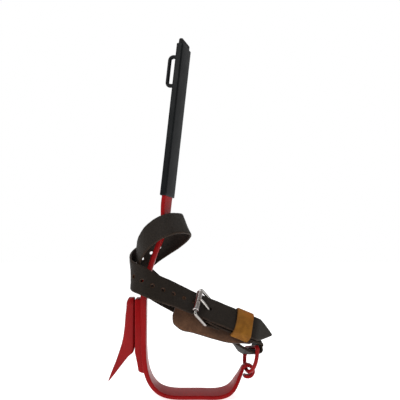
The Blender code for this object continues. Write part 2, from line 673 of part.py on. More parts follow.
def keeper(look):
    half_w = STRAP_W / 2 + GAP + 0.3
    front, back = STRAP_T / 2 + GAP + 0.1, CHAPE_UNDER + STRAP_T / 2 + GAP + 0.6
    mid, half_n = (front - back) / 2, (front + back) / 2
    outer = rounded(2 * (half_w + KEEPER_T), 2 * (half_n + KEEPER_T), 3.4, 5)
    inner = rounded(2 * half_w, 2 * half_n, 1.2, 5)
    stacks = []
    for pairs in (outer, inner):
        sign = -0.5 if pairs is outer else 0.0
        stack = []
        half = KEEPER_W / 2
        for s, edge in ((-half, 1.0), (-half + 0.5, 0.0), (half - 0.5, 0.0), (half, 1.0)):
            at = on_run(KEEPER_S + s) + mid * RUN_N
            k = 1.0 + sign * edge / half_w
            outline = [(u * k, v * (1.0 + sign * edge / half_n)) for u, v in pairs]
            stack.append(placed(outline, at, RUN_W, RUN_N))
        stacks.append(stack)
    return solid("strap_keeper", *tube(*stacks), look, origin=on_run(KEEPER_S))


PAD = [  # along the run, how far under it, width direction, upper and lower half widths
    (-55.6, 18.0, (0.10, 0.36, 0.93), 9.0, 11.5),
    (-53.4, 18.0, (0.10, 0.36, 0.93), 14.5, 17.5),
    (-48.5, 18.0, (0.10, 0.38, 0.92), 18.0, 22.2),
    (-41.0, 17.9, (0.11, 0.42, 0.90), 19.5, 24.8),
    (-32.0, 17.7, (0.12, 0.46, 0.88), 19.5, 24.2),
    (-18.0, 18.2, (0.14, 0.52, 0.84), 18.5, 22.6),
    (-4.0, 17.8, (0.15, 0.58, 0.80), 17.5, 22.0),
    (9.0, 16.8, (0.13, 0.62, 0.77), 16.5, 21.4),
    (21.0, 15.6, (0.11, 0.66, 0.74), 15.0, 20.2),
    (30.0, 16.0, (0.05, 0.73, 0.67), 13.0, 17.4),
    (36.0, 16.4, (0.00, 0.80, 0.58), 12.0, 16.0),
    (41.0, 18.0, (-0.02, 0.84, 0.52), 9.5, 12.8),
    (43.6, 19.6, (-0.03, 0.86, 0.50), 6.0, 8.0),
]


def ankle_pad(look):
    rows = spline([(*on_run(s, u), *w, a, b) for s, u, w, a, b in PAD], 3.6)
    along = tangents(rows[:, :3])
    rings = []
    for row, d in zip(rows, along):
        w = unit(row[3:6] - np.dot(row[3:6], d) * d)
        n = np.cross(w, d)
        a, b = row[6], row[7]
        rings.append([
            row[:3] + (u + (a - b) / 2) * w + v * n for u, v in rounded(a + b, PAD_T, 1.1)
        ])
    return solid("ankle_pad", *loft(rings), look)


def rivets(look):
    """Tubular rivets through the folded end, each with a washer on the back."""
    front, back = CHAPE_UNDER - STRAP_T / 2, CHAPE_BACK_UNDER + STRAP_T / 2
    for name, v in (("chape_rivet_lower", -8.5), ("chape_rivet_upper", 8.5)):
        at = on_run(HEEL_S + 12.5, front - 0.8, v)
        screw(name, at, -RUN_N, 1.3, back - front + 1.4, 3.6, 1.1, look)


clear_scene()
CUTTER = material("cutter", (0.5, 0.5, 0.5), 0.0, 0.5)
RED = material("red_enamel", (0.62, 0.02, 0.02), 0.0, 0.28)
GAFF_RED = material("gaff_enamel", (0.60, 0.02, 0.02), 0.0, 0.34)
RING_RED = material("ring_enamel", (0.62, 0.02, 0.025), 0.0, 0.25)
BLACK = material("black_coating", (0.012, 0.012, 0.013), 0.0, 0.42)
ROD_BLACK = material("loop_coating", (0.010, 0.010, 0.011), 0.0, 0.36)
CAP_BLACK = material("cap_plastic", (0.015, 0.015, 0.015), 0.0, 0.5)
STEEL = material("screw_steel", (0.42, 0.42, 0.44), 1.0, 0.35)
NICKEL = material("nickel_frame", (0.60, 0.58, 0.55), 1.0, 0.18)
ROLLER = material("nickel_roller", (0.64, 0.62, 0.60), 1.0, 0.14)
TONGUE = material("nickel_tongue", (0.60, 0.58, 0.55), 1.0, 0.22)
COPPER = material("rivet_brass", (0.45, 0.30, 0.12), 1.0, 0.35)
LEATHER = material("strap_leather", (0.040, 0.026, 0.016), 0.0, 0.62)
TAN = material("keeper_leather", (0.45, 0.20, 0.03), 0.0, 0.55)
SUEDE = material("pad_leather", (0.20, 0.10, 0.055), 0.0, 0.85)

leg_iron(RED)
gaff(GAFF_RED)
for label, height in zip(("gaff_screw_upper", "gaff_screw_lower"), GAFF_SCREW_Z):
    screw(label, (-77.1, 0.0, height), (1, 0, 0), 2.9, 15.2, 4.8, 4.4, STEEL, 2.2)
sleeve(BLACK)
sleeve_parts(CAP_BLACK, STEEL)
bpy.data.objects["strap_loop"].data.materials[0] = ROD_BLACK
ring(RING_RED)
PATH = strap_path()
foot_strap(LEATHER, PATH)
buckle_strap(LEATHER, PATH)
strap_bight(LEATHER, PATH)
buckle(NICKEL, ROLLER)
bpy.data.objects["buckle_tongue"].data.materials[0] = TONGUE
keeper(TAN)
ankle_pad(SUEDE)
rivets(COPPER)
bpy.data.materials.remove(CUTTER)
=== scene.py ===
"""The climbing iron's looks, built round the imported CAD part. Sizes are in millimetres until a mesh is made."""

import math

import bmesh
import bpy
import numpy as np
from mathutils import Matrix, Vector


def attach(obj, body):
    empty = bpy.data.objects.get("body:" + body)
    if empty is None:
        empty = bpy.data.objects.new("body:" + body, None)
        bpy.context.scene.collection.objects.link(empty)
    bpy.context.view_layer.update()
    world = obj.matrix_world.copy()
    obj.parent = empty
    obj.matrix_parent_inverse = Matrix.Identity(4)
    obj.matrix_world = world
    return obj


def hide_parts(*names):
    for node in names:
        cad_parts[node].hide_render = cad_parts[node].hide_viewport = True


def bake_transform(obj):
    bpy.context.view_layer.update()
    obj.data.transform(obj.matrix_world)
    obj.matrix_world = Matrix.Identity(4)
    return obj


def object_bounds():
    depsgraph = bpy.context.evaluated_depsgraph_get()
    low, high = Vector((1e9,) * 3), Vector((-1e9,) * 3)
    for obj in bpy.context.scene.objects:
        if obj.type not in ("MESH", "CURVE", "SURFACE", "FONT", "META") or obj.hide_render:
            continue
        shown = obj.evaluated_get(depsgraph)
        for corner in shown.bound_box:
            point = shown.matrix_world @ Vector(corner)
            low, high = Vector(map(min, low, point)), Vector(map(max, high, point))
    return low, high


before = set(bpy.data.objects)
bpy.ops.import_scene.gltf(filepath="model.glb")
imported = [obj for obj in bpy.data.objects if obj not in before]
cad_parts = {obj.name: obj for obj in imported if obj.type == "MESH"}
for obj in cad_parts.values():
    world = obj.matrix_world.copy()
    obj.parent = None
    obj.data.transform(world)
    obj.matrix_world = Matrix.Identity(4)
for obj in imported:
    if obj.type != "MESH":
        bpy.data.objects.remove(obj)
CAD_BOX = [list(corner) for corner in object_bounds()]

MM = 0.001
ACROSS = np.array([0.0, 1.0, 0.0])

# ---------------------------------------------------------------- sizes shared with the CAD part

STIRRUP = [  # centre line as (x, z, width in Y, thickness)
    (-61.2, 112.0, 26.0, 7.0),
    (-61.2, 72.0, 27.0, 6.8),
    (-60.6, 46.0, 30.0, 6.2),
    (-57.4, 25.5, 33.5, 5.6),
    (-50.4, 10.6, 35.5, 5.1),
    (-41.2, 2.4, 36.0, 4.8),
    (-28.0, -1.6, 36.0, 4.8),
    (-10.0, -2.4, 36.0, 4.8),
    (10.0, -2.4, 36.0, 4.8),
    (28.0, -2.1, 35.5, 4.8),
    (38.6, 1.0, 34.0, 4.8),
    (44.6, 5.8, 31.0, 4.6),
    (49.6, 13.6, 25.0, 4.4),
    (53.6, 21.2, 17.0, 4.1),
]
SHANK_BEND = [
    (-60.8, 123.0), (-58.9, 134.0), (-55.6, 143.0), (-52.5, 152.0), (-49.5, 161.0),
    (-46.2, 170.0), (-42.2, 180.0), (-38.9, 190.0), (-36.7, 200.0), (-35.5, 210.0),
]
SHANK_W, SHANK_T = 24.0, 5.0
TWIST, TWIST_FROM, TWIST_TO = math.radians(21.0), 164.0, 228.0
EYE_X, EYE_Z, EYE_R, EYE_T, EYE_W, EYE_TURN = 62.8, 25.3, 6.7, 4.0, 10.0, 283.0
EYE = np.array([EYE_X, 0.0, EYE_Z])

SLEEVE_FOOT = np.array([-33.4, 0.0, 234.0])
LEAN = math.radians(6.44)
SLEEVE_LEN, SLEEVE_W, SLEEVE_T, SLEEVE_WALL = 180.0, 29.2, 8.4, 1.4
SHANK_IN_SLEEVE = 142.0
HOLE_PITCH, HOLE_R, HOLE_COUNT = 12.7, 2.9, 9
SCREW_AT = (19.05, 44.45)
LOOP_TOP, LOOP_FOOT, LOOP_OUT, LOOP_R, LOOP_BEND = 169.0, 134.0, 12.3, 2.3, 4.2
CAP_DEPTH, CAP_RISE = 12.0, 6.4

SEAT_HALF_W, SEAT_TOP = 12.0, 112.5
GAFF_BACK = -71.9
GAFF = [  # outer edge x, z, inner edge x, z, half width in Y
    (-79.6, 113.2, GAFF_BACK, 113.2, 8.3),
    (-81.9, 108.6, GAFF_BACK, 108.6, 9.0),
    (-82.3, 99.5, GAFF_BACK, 99.5, 9.0),
    (-83.2, 94.0, GAFF_BACK, 94.0, 9.0),
    (-84.2, 80.0, GAFF_BACK, 80.0, 9.0),
    (-85.9, 67.0, GAFF_BACK, 66.0, 9.0),
    (-87.9, 58.0, GAFF_BACK, 56.0, 8.8),
    (-90.9, 48.8, -73.4, 48.0, 8.4),
    (-94.5, 38.2, -79.4, 43.2, 7.2),
    (-98.9, 27.4, -87.4, 33.0, 5.4),
    (-102.1, 19.2, -96.2, 21.4, 3.0),
    (-104.2, 13.2, -103.2, 12.8, 0.6),
]
GAFF_SCREW_Z = (99.0, 68.0)

RING_ROD, RING_R, RING_RISE, RING_BEND = 2.3, 18.7, 9.8, 4.2
RING_BAR, RING_UP, RING_SHIFT, RING_ROLL = (0.25, -0.943, 0.22), (0.14, 0.26, 0.955), -1.5, math.radians(16.0)

STRAP_W, STRAP_T = 31.8, 3.2
RUN_AT = np.array([33.9, -14.9, 93.3])
RUN_DIR, RUN_FACE_TILT = (0.917, 0.097, -0.387), math.radians(46.0)
TIP_SHOULDER, TIP_END = 44.5, 61.5
STRAP_HOLE_R, STRAP_HOLE_PITCH, STRAP_HOLE_COUNT, SLOT_HALF = 2.2, 13.4, 13, 5.9
SLOT_LEFT, SLOT_RIGHT, SLOT_LEAN = -22.9, -15.9, (1.28, 0.78)

HEEL_S, HEEL_UNDER = -16.5, 7.5
FRAME_L, FRAME_TILT, FRAME_ROD, FRAME_HALF, FRAME_BEND = 24.4, math.radians(34.0), 1.8, 18.8, 4.0
ROLLER_R, ROLLER_BORE, ROLLER_HALF = 3.6, 2.2, 14.0
TONGUE_W, TONGUE_T, TONGUE_EYE = 3.4, 2.6, 3.5
CHAPE_UNDER, CHAPE_BACK_UNDER, CHAPE_BACK_END = 5.7, 9.3, 2.0
KEEPER_S, KEEPER_W, KEEPER_T = 24.5, 21.6, 2.4
RIVET_S, RIVET_ACROSS = 12.5, (-8.5, 8.5)

SHARP, SOFT_SHARP, FINE_SHARP = 40.0, 60.0, 30.0  # edges turning by more degrees than this stay sharp
CAMERA_AT, CAMERA_LENS, CAMERA_SHIFT = (-0.0216, -0.593, 0.1772), 44.46, (0.0575, 0.11)


def unit(v):
    v = np.asarray(v, float)
    return v / np.linalg.norm(v)


AXIS = np.array([math.sin(LEAN), 0.0, math.cos(LEAN)])
FLAT = np.array([math.cos(LEAN), 0.0, -math.sin(LEAN)])
BROAD = math.sin(TWIST) * FLAT + math.cos(TWIST) * ACROSS
THIN = math.cos(TWIST) * FLAT - math.sin(TWIST) * ACROSS
RUN_T = unit(RUN_DIR)
FACE = np.array([0.0, -math.cos(RUN_FACE_TILT), math.sin(RUN_FACE_TILT)])
RUN_N = unit(FACE - np.dot(FACE, RUN_T) * RUN_T)
RUN_W = np.cross(RUN_N, RUN_T)
HEEL = RUN_AT + HEEL_S * RUN_T - HEEL_UNDER * RUN_N


# ---------------------------------------------------------------- mesh helpers


def circle(radius, steps):
    return [
        (radius * math.cos(2 * math.pi * k / steps), radius * math.sin(2 * math.pi * k / steps))
        for k in range(steps)
    ]


def rounded(width, thick, radius, steps=4):
    """A rounded rectangle as (across, through) pairs."""
    radius = min(radius, width * 0.49, thick * 0.49)
    pairs = []
    for sx, sy, start in ((1, 1, 0.0), (-1, 1, 90.0), (-1, -1, 180.0), (1, -1, 270.0)):
        cx, cy = sx * (width / 2 - radius), sy * (thick / 2 - radius)
        for k in range(steps + 1):
            a = math.radians(start + 90.0 * k / steps)
            pairs.append((cx + radius * math.cos(a), cy + radius * math.sin(a)))
    return pairs


def placed(pairs, at, across, through):
    return [at + u * np.asarray(across) + v * np.asarray(through) for u, v in pairs]


def loft(rings, closed=False):
    """Points and faces of a skin over equal rings, with flat ends unless it closes on itself."""
    points = [p for ring in rings for p in ring]
    count, size = len(rings), len(rings[0])
    faces = []
    for i in range(count if closed else count - 1):
        a, b = i * size, ((i + 1) % count) * size
        for k in range(size):
            m = (k + 1) % size
            faces.append((a + k, a + m, b + m, b + k))
    if not closed:
        faces.append(tuple(range(size)))
        faces.append(tuple(range((count - 1) * size, count * size)))
    return points, faces


def tube(outer, inner):
    """A pipe between two equal stacks of rings, open at both ends."""
    points = [p for ring in outer for p in ring] + [p for ring in inner for p in ring]
    count, size = len(outer), len(outer[0])
    shift = count * size
    faces = []
    for i in range(count - 1):
        a, b = i * size, (i + 1) * size
        for k in range(size):
            m = (k + 1) % size
            faces.append((a + k, a + m, b + m, b + k))
            faces.append((shift + a + k, shift + b + k, shift + b + m, shift + a + m))
    for row in (0, (count - 1) * size):
        for k in range(size):
            m = (k + 1) % size
            faces.append((row + k, row + m, shift + row + m, shift + row + k))
    return points, faces


def walked(points):
    """How far along its path each point is."""
    return np.concatenate([[0.0], np.cumsum(np.linalg.norm(np.diff(points[:, :3], axis=0), axis=1))])


def spline(knots, step):
    """A natural cubic through rows of values, walked at about one step; the first three are x, y, z."""
    knots = np.asarray(knots, float)
    chord = walked(knots)
    n = len(knots)
    h = np.diff(chord)
    a, b = np.zeros((n, n)), np.zeros((n, knots.shape[1]))
    a[0, 0] = a[-1, -1] = 1.0
    for i in range(1, n - 1):
        a[i, i - 1], a[i, i], a[i, i + 1] = h[i - 1], 2 * (h[i - 1] + h[i]), h[i]
        b[i] = 6 * ((knots[i + 1] - knots[i]) / h[i] - (knots[i] - knots[i - 1]) / h[i - 1])
    bend = np.linalg.solve(a, b)
    rows = []
    for s in np.linspace(0.0, chord[-1], max(2, int(round(chord[-1] / step))) + 1):
        i = min(int(np.searchsorted(chord, s, side="right")) - 1, n - 2)
        p, q = (chord[i + 1] - s) / h[i], (s - chord[i]) / h[i]
        rows.append(
            p * knots[i] + q * knots[i + 1]
            + ((p**3 - p) * bend[i] + (q**3 - q) * bend[i + 1]) * h[i] ** 2 / 6
        )
    return np.array(rows)


def tangents(points):
    along = np.gradient(np.asarray(points, float), axis=0)
    return along / np.linalg.norm(along, axis=1)[:, None]


def piece(name, shape, look, body, replaces=(), sharp=SHARP):
    """One named closed mesh in metres, shaded smooth, riding on its body."""
    points, faces = shape
    mesh = bpy.data.meshes.new(name)
    mesh.from_pydata([tuple(np.asarray(p) * MM) for p in points], [], faces)
    tidy(mesh, sharp)
    made = bpy.data.objects.new(name, mesh)
    bpy.context.scene.collection.objects.link(made)
    mesh.materials.append(look)
    if body:
        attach(made, body)
    if replaces:
        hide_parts(*replaces)
    return made


def tidy(mesh, sharp):
    """Join doubled points, turn the faces outwards and shade smooth between sharp edges."""
    work = bmesh.new()
    work.from_mesh(mesh)
    bmesh.ops.remove_doubles(work, verts=work.verts, dist=0.000004)
    bmesh.ops.recalc_face_normals(work, faces=work.faces)
    if work.calc_volume(signed=True) < 0:
        bmesh.ops.reverse_faces(work, faces=work.faces)
    work.to_mesh(mesh)
    work.free()
    mesh.shade_smooth()
    mesh.set_sharp_from_angle(angle=math.radians(sharp))


def bake(made, sharp=SHARP):
    """Put a piece's modifiers into its mesh."""
    bpy.context.view_layer.update()
    mesh = bpy.data.meshes.new_from_object(made.evaluated_get(bpy.context.evaluated_depsgraph_get()))
    look = made.data.materials[0]
    made.modifiers.clear()
    made.data = mesh
    mesh.materials.clear()
    mesh.materials.append(look)
    tidy(mesh, sharp)


def cut(target, shapes, sharp=SHARP):
    """Boolean a list of closed shapes off a piece."""
    cutters = [piece("cutter", shape, target.data.materials[0], None) for shape in shapes]
    for cutter in cutters:
        boolean = target.modifiers.new("cut", "BOOLEAN")
        boolean.operation, boolean.solver, boolean.object = "DIFFERENCE", "EXACT", cutter
    bake(target, sharp)
    for cutter in cutters:
        bpy.data.objects.remove(cutter, do_unlink=True)


def turned(profile, at, along, steps, hint=(0.3, 0.5, 0.81)):
    """A shape turned round a line from `at`, given as (distance along it, radius) stops."""
    along = unit(along)
    side = unit(np.cross(along, hint))
    other = np.cross(along, side)
    at = np.asarray(at, float)
    return loft([placed(circle(r, steps), at + d * along, side, other) for d, r in profile])


def peg(at, along, radius, length, steps=28):
    return turned([(-length / 2, radius), (length / 2, radius)], at, along, steps)


def flared(at, along, radius, flare, depth, reach):
    """A hole cutter whose mouth at `at` opens out by `flare` over `depth`, on the side `along` points to."""
    mouth = radius + flare
    return turned([(reach, mouth), (0.0, mouth), (-depth, radius), (-reach, radius)], at, along, 28)


def rod(path, radius, normal, closed=False):
    """A round rod along a path that lies in one plane with the given normal."""
    path = np.asarray(path, float)
    if closed:
        along = np.roll(path, -1, axis=0) - np.roll(path, 1, axis=0)
        along = along / np.linalg.norm(along, axis=1)[:, None]
    else:
        along = tangents(path)
    normal = unit(normal)
    rings = [placed(circle(radius, 24), at, normal, unit(np.cross(normal, t))) for at, t in zip(path, along)]
    return loft(rings, closed)


def stroke(spots, radius):
    """Corner arcs of a rounded frame: (middle, side direction, up direction, first angle) for each corner."""
    path = []
    for middle, side, up, start in spots:
        for k in range(11):
            a = math.radians(start + 9.0 * k)
            path.append(middle + side * (radius * math.cos(a)) + up * (radius * math.sin(a)))
    return path


def spread(path, step, closed=False):
    """The path with points added on its straight stretches, about one step apart."""
    out = []
    count = len(path) if closed else len(path) - 1
    for i in range(count):
        a, b = path[i], path[(i + 1) % len(path)]
        parts = max(1, int(round(np.linalg.norm(b - a) / step)))
        out += [a + (b - a) * k / parts for k in range(parts)]
    if not closed:
        out.append(path[-1])
    return out


# ---------------------------------------------------------------- materials


class Look:
    """The nodes of a material or of the world, built a node at a time."""

    def __init__(self, block, shader="Principled BSDF"):
        self.block = block
        block.use_nodes = True
        self.nodes, self.links = block.node_tree.nodes, block.node_tree.links
        self.shader = self.nodes[shader]

    def add(self, kind, **values):
        node = self.nodes.new(kind)
        for key, value in values.items():
            if key in node.inputs:
                node.inputs[key].default_value = value
            else:
                setattr(node, key, value)
        return node

    def feed(self, value, into):
        """Link an output in, or set a plain number or colour."""
        if hasattr(value, "is_linked"):
            self.links.new(value, into)
        elif hasattr(value, "__len__"):
            into.default_value = (*value, 1.0)
        else:
            into.default_value = value

    def place(self):
        """Points of the object in metres, the same at any pose the piece rides to."""
        return self.add("ShaderNodeTexCoord").outputs["Object"]

    def mapped(self, texture, at, stretch):
        mapping = self.add("ShaderNodeMapping", Scale=stretch)
        self.feed(at or self.place(), mapping.inputs["Vector"])
        self.feed(mapping.outputs["Vector"], texture.inputs["Vector"])
        return texture

    def noise(self, scale, detail=4.0, roughness=0.55, stretch=(1.0, 1.0, 1.0), at=None, distortion=0.0):
        made = self.add("ShaderNodeTexNoise", Scale=scale, Detail=detail, Roughness=roughness, Distortion=distortion)
        return self.mapped(made, at, stretch).outputs["Fac"]

    def cells(self, scale, at=None, stretch=(1.0, 1.0, 1.0)):
        made = self.add("ShaderNodeTexVoronoi", Scale=scale)
        return self.mapped(made, at, stretch).outputs["Distance"]

    def ramp(self, value, stops):
        made = self.add("ShaderNodeValToRGB")
        ramp = made.color_ramp
        while len(ramp.elements) < len(stops):
            ramp.elements.new(0.5)
        for element, (place, colour) in zip(ramp.elements, stops):
            element.position = place
            element.color = (*colour, 1.0) if hasattr(colour, "__len__") else (colour, colour, colour, 1.0)
        self.feed(value, made.inputs["Fac"])
        return made.outputs["Color"]

    def mix(self, factor, a, b):
        made = self.add("ShaderNodeMix", data_type="RGBA")
        for value, slot in ((factor, 0), (a, 6), (b, 7)):
            self.feed(value, made.inputs[slot])
        return made.outputs[2]

    def over(self, tone, value, low, high, most, colour):
        """Lay a colour over the tone, from nothing where value is low to `most` where it is high."""
        return self.mix(self.ramp(value, [(low, 0.0), (high, most)]), tone, colour)

    def math(self, operation, a, b):
        made = self.add("ShaderNodeMath", operation=operation)
        self.feed(a, made.inputs[0])
        self.feed(b, made.inputs[1])
        return made.outputs[0]

    def times(self, a, b):
        return self.math("MULTIPLY", a, b)

    def attribute(self, name, part="Fac"):
        return self.add("ShaderNodeAttribute", attribute_name=name).outputs[part]

    def bump(self, height, distance, strength=1.0, under=None):
        made = self.add("ShaderNodeBump", Strength=strength, Distance=distance)
        self.feed(height, made.inputs["Height"])
        if under:
            self.feed(under, made.inputs["Normal"])
        return made.outputs["Normal"]

    def edges_rubbed_and_lit(self):
        """High on the piece's outer edges."""
        return self.add("ShaderNodeNewGeometry").outputs["Pointiness"]

    def finish(self, tone, relief, rough=None, **values):
        """Wire up colour, relief and roughness, and set the numbers that are the same all over."""
        self.feed(tone, self.shader.inputs["Base Color"])
        if rough:
            self.feed(rough, self.shader.inputs["Roughness"])
        if relief:
            self.feed(relief, self.shader.inputs["Normal"])
        for key, value in values.items():
            self.shader.inputs[key.replace("_", " ")].default_value = value
        return self.block


def new_look(name):
    return Look(bpy.data.materials.new(name))


def enamel(name, base, deep, worn_share=0.5):
    """Glossy enamel over a forging: thicker and thinner paint, orange peel, rubbed edges."""
    look = new_look(name)
    broad = look.noise(38.0, 3.0)
    fine = look.noise(420.0, 4.0, 0.6)
    tone = look.ramp(broad, [(0.30, deep), (0.72, base)])
    rubbed = look.ramp(look.edges_rubbed_and_lit(), [(0.515, 0.0), (0.56, 1.0)])
    rubbed = look.times(rubbed, look.ramp(look.noise(210.0, 5.0, 0.7), [(0.46, 0.0), (0.62, worn_share)]))
    tone = look.mix(rubbed, tone, tuple(c * 0.55 for c in deep))
    rough = look.ramp(fine, [(0.3, 0.30), (0.75, 0.42)])
    peel = look.bump(look.noise(300.0, 2.0), 0.00012, 0.5)
    relief = look.bump(broad, 0.0006, 0.35, peel)
    return look.finish(
        tone, relief, rough, Coat_Weight=0.07, Coat_Roughness=0.14, Coat_IOR=1.5, Specular_IOR_Level=0.06
    )


def satin_black(name, base, edge, grain, low, high):
    """Stoved black coating: fine grain, faint scuffs that run along the leg, and lighter outer edges that are partly
    rubbed wear and partly a painted highlight.
    """
    look = new_look(name)
    scuff = look.noise(90.0, 6.0, 0.7, stretch=(3.0, 3.0, 0.35))
    cloud = look.noise(26.0, 3.0)
    tone = look.over(base, cloud, 0.35, 0.7, 1.0, tuple(c * 1.5 for c in base))
    tone = look.over(tone, scuff, 0.60, 0.72, 0.55, edge)
    # painted highlight, partly real wear: the outer edges are lightened toward the edge tone, standing in for light
    # catching the edges as well as for rubbed coating
    tone = look.over(tone, look.edges_rubbed_and_lit(), 0.52, 0.58, 0.6, edge)
    rough = look.ramp(look.noise(60.0, 5.0), [(0.3, low), (0.7, high)])
    return look.finish(tone, look.bump(look.noise(grain, 4.0, 0.65), 0.00010, 0.6), rough, Specular_IOR_Level=0.09)


def plated(name, base, rough=0.16, scratch=0.35):
    """Nickel plate: bright, with fine rub marks and a little tarnish in cloudy patches."""
    look = new_look(name)
    marks = look.noise(700.0, 5.0, 0.7, stretch=(1.0, 0.12, 1.0))
    cloud = look.noise(120.0, 4.0)
    tone = look.over(base, cloud, 0.42, 0.75, 0.7, (base[0] * 0.62, base[1] * 0.58, base[2] * 0.50))
    rough = look.ramp(marks, [(0.35, rough * 0.7), (0.7, rough * 1.9)])
    return look.finish(tone, look.bump(marks, 0.00004, scratch), rough, Metallic=1.0)


def plain_steel(name, base, rough=0.34):
    look = new_look(name)
    tone = look.over(base, look.noise(260.0, 5.0, 0.7), 0.40, 0.70, 1.0, tuple(c * 0.45 for c in base))
    rough = look.ramp(look.noise(500.0, 3.0), [(0.3, rough * 0.8), (0.7, rough * 1.5)])
    return look.finish(tone, look.bump(look.noise(900.0, 4.0), 0.00004, 0.5), rough, Metallic=1.0)


def harness_leather(name):
    """Oiled dark harness leather; its points carry where they are along, across and through the strap."""
    look = new_look(name)
    at = look.attribute("strap_at", "Vector")
    pores = look.cells(1150.0, at=at, stretch=(0.75, 1.0, 1.0))
    grain = look.noise(620.0, 6.0, 0.7, at=at)
    cloud = look.noise(42.0, 4.0, 0.6, at=at)
    streak = look.noise(60.0, 5.0, 0.65, stretch=(0.25, 2.2, 1.0), at=at)
    speck = look.noise(1500.0, 3.0, 0.8, at=at)
    tone = look.ramp(cloud, [
        (0.28, (0.0085, 0.0052, 0.0034)),
        (0.55, (0.0155, 0.0100, 0.0068)),
        (0.80, (0.026, 0.0170, 0.0115)),
    ])
    tone = look.over(tone, streak, 0.52, 0.72, 0.45, (0.034, 0.026, 0.019))
    tone = look.over(tone, speck, 0.56, 0.78, 0.55, (0.052, 0.040, 0.030))
    flesh = look.attribute("flesh")
    nap = look.noise(800.0, 5.0, 0.8, at=at)
    fuzz = look.ramp(nap, [(0.3, (0.007, 0.0055, 0.0042)), (0.75, (0.026, 0.018, 0.012))])
    tone = look.mix(flesh, tone, fuzz)
    ragged = look.times(look.math("SUBTRACT", look.noise(950.0, 4.0, 0.7, at=at), 0.5), 1.5)
    ragged = look.math("ADD", look.attribute("rim"), ragged)
    tone = look.over(tone, ragged, 0.62, 0.92, 0.6, (0.085, 0.034, 0.012))
    frayed = look.ramp(look.noise(500.0, 5.0, 0.7, at=at), [(0.42, 0.0), (0.66, 1.0)])
    tone = look.mix(look.times(look.attribute("cut_edge"), frayed), tone, (0.040, 0.020, 0.010))
    dusty = look.ramp(speck, [(0.35, 0.35), (0.7, 1.0)])
    tone = look.mix(look.times(look.attribute("dust"), dusty), tone, (0.060, 0.056, 0.050))
    rough = look.ramp(grain, [(0.3, 0.50), (0.72, 0.74)])
    wrinkle = look.noise(150.0, 4.0, 0.6, stretch=(3.2, 0.4, 1.0), at=at)
    creases = look.times(look.attribute("crease"), wrinkle)
    under = look.bump(creases, 0.0010, 0.7)
    under = look.bump(grain, 0.00024, 0.8, under)
    return look.finish(tone, look.bump(pores, 0.00014, 0.55, under), rough, Specular_IOR_Level=0.16)


def tan_leather(name):
    """Veg-tanned keeper: mustard that turns orange-brown towards its top edge, with burnished edges."""
    look = new_look(name)
    at = look.attribute("strap_at", "Vector")
    cloud = look.noise(95.0, 4.0, 0.6, at=at, distortion=0.4)
    grain = look.noise(700.0, 5.0, 0.7, at=at)
    tone = look.ramp(cloud, [
        (0.30, (0.155, 0.058, 0.006)),
        (0.55, (0.235, 0.096, 0.011)),
        (0.78, (0.270, 0.114, 0.015)),
    ])
    uneven = look.ramp(look.noise(60.0, 3.0, at=at), [(0.3, 0.7), (0.6, 1.0)])
    tone = look.mix(look.times(look.attribute("warm"), uneven), tone, (0.300, 0.088, 0.008))
    rubbed = look.noise(330.0, 5.0, 0.75, at=at)
    tone = look.over(tone, rubbed, 0.60, 0.74, 0.45, (0.110, 0.042, 0.006))
    tone = look.mix(look.attribute("cut_edge"), tone, (0.060, 0.022, 0.006))
    rough = look.ramp(grain, [(0.3, 0.44), (0.7, 0.64)])
    under = look.bump(grain, 0.00016, 0.6, look.bump(cloud, 0.0005, 0.5))
    relief = look.bump(look.cells(1100.0, at=at), 0.00012, 0.5, under)
    return look.finish(tone, relief, rough, Specular_IOR_Level=0.12)


def suede(name):
    """The pad's rough side: mottled nap, darker where it is rubbed, a browned cut edge."""
    look = new_look(name)
    mottled = look.noise(120.0, 6.0, 0.7, distortion=0.5)
    nap = look.noise(1500.0, 5.0, 0.8, stretch=(1.0, 1.0, 0.7))
    patch = look.noise(34.0, 3.0, 0.6)
    tone = look.ramp(mottled, [
        (0.30, (0.085, 0.036, 0.016)),
        (0.52, (0.165, 0.074, 0.035)),
        (0.76, (0.250, 0.122, 0.062)),
    ])
    tone = look.over(tone, patch, 0.45, 0.70, 0.55, (0.075, 0.036, 0.020))
    tone = look.mix(look.ramp(nap, [(0.35, 0.55), (0.70, 0.0)]), tone, (0.040, 0.018, 0.010))
    tone = look.mix(look.attribute("cut_edge"), tone, (0.050, 0.022, 0.012))
    relief = look.bump(mottled, 0.0006, 0.5, look.bump(nap, 0.0003, 0.9))
    return look.finish(tone, relief, Roughness=0.92, Specular_IOR_Level=0.15, Sheen_Weight=0.35, Sheen_Roughness=0.5)


RED = enamel("red_enamel_look", (0.300, 0.0060, 0.0070), (0.235, 0.0040, 0.0050))
GAFF_RED = enamel("gaff_enamel_look", (0.290, 0.0100, 0.0105), (0.225, 0.0065, 0.0080), 0.8)
RING_RED = enamel("ring_enamel_look", (0.310, 0.0100, 0.0110), (0.240, 0.0070, 0.0080), 0.8)
# the lighter blue-grey edge tone here is partly a painted highlight along the sleeve's outer edges
BLACK = satin_black("black_coating_look", (0.0042, 0.0048, 0.0052), (0.026, 0.031, 0.034), 520.0, 0.30, 0.44)
LOOP_BLACK = satin_black("loop_coating_look", (0.0075, 0.0075, 0.0080), (0.050, 0.050, 0.050), 800.0, 0.30, 0.44)
CAP_BLACK = satin_black("cap_plastic_look", (0.011, 0.011, 0.011), (0.030, 0.030, 0.030), 1100.0, 0.50, 0.62)
NICKEL = plated("nickel_frame_look", (0.40, 0.385, 0.37))
ROLLER = plated("nickel_roller_look", (0.46, 0.42, 0.41), 0.14, 0.5)
TONGUE = plated("nickel_tongue_look", (0.62, 0.60, 0.57), 0.20)
STEEL = plain_steel("screw_steel_look", (0.30, 0.30, 0.31))
BRASS = plain_steel("rivet_brass_look", (0.42, 0.27, 0.11), 0.30)
LEATHER = harness_leather("strap_leather_look")
TAN = tan_leather("keeper_leather_look")
SUEDE = suede("pad_leather_look")


# ---------------------------------------------------------------- leg iron


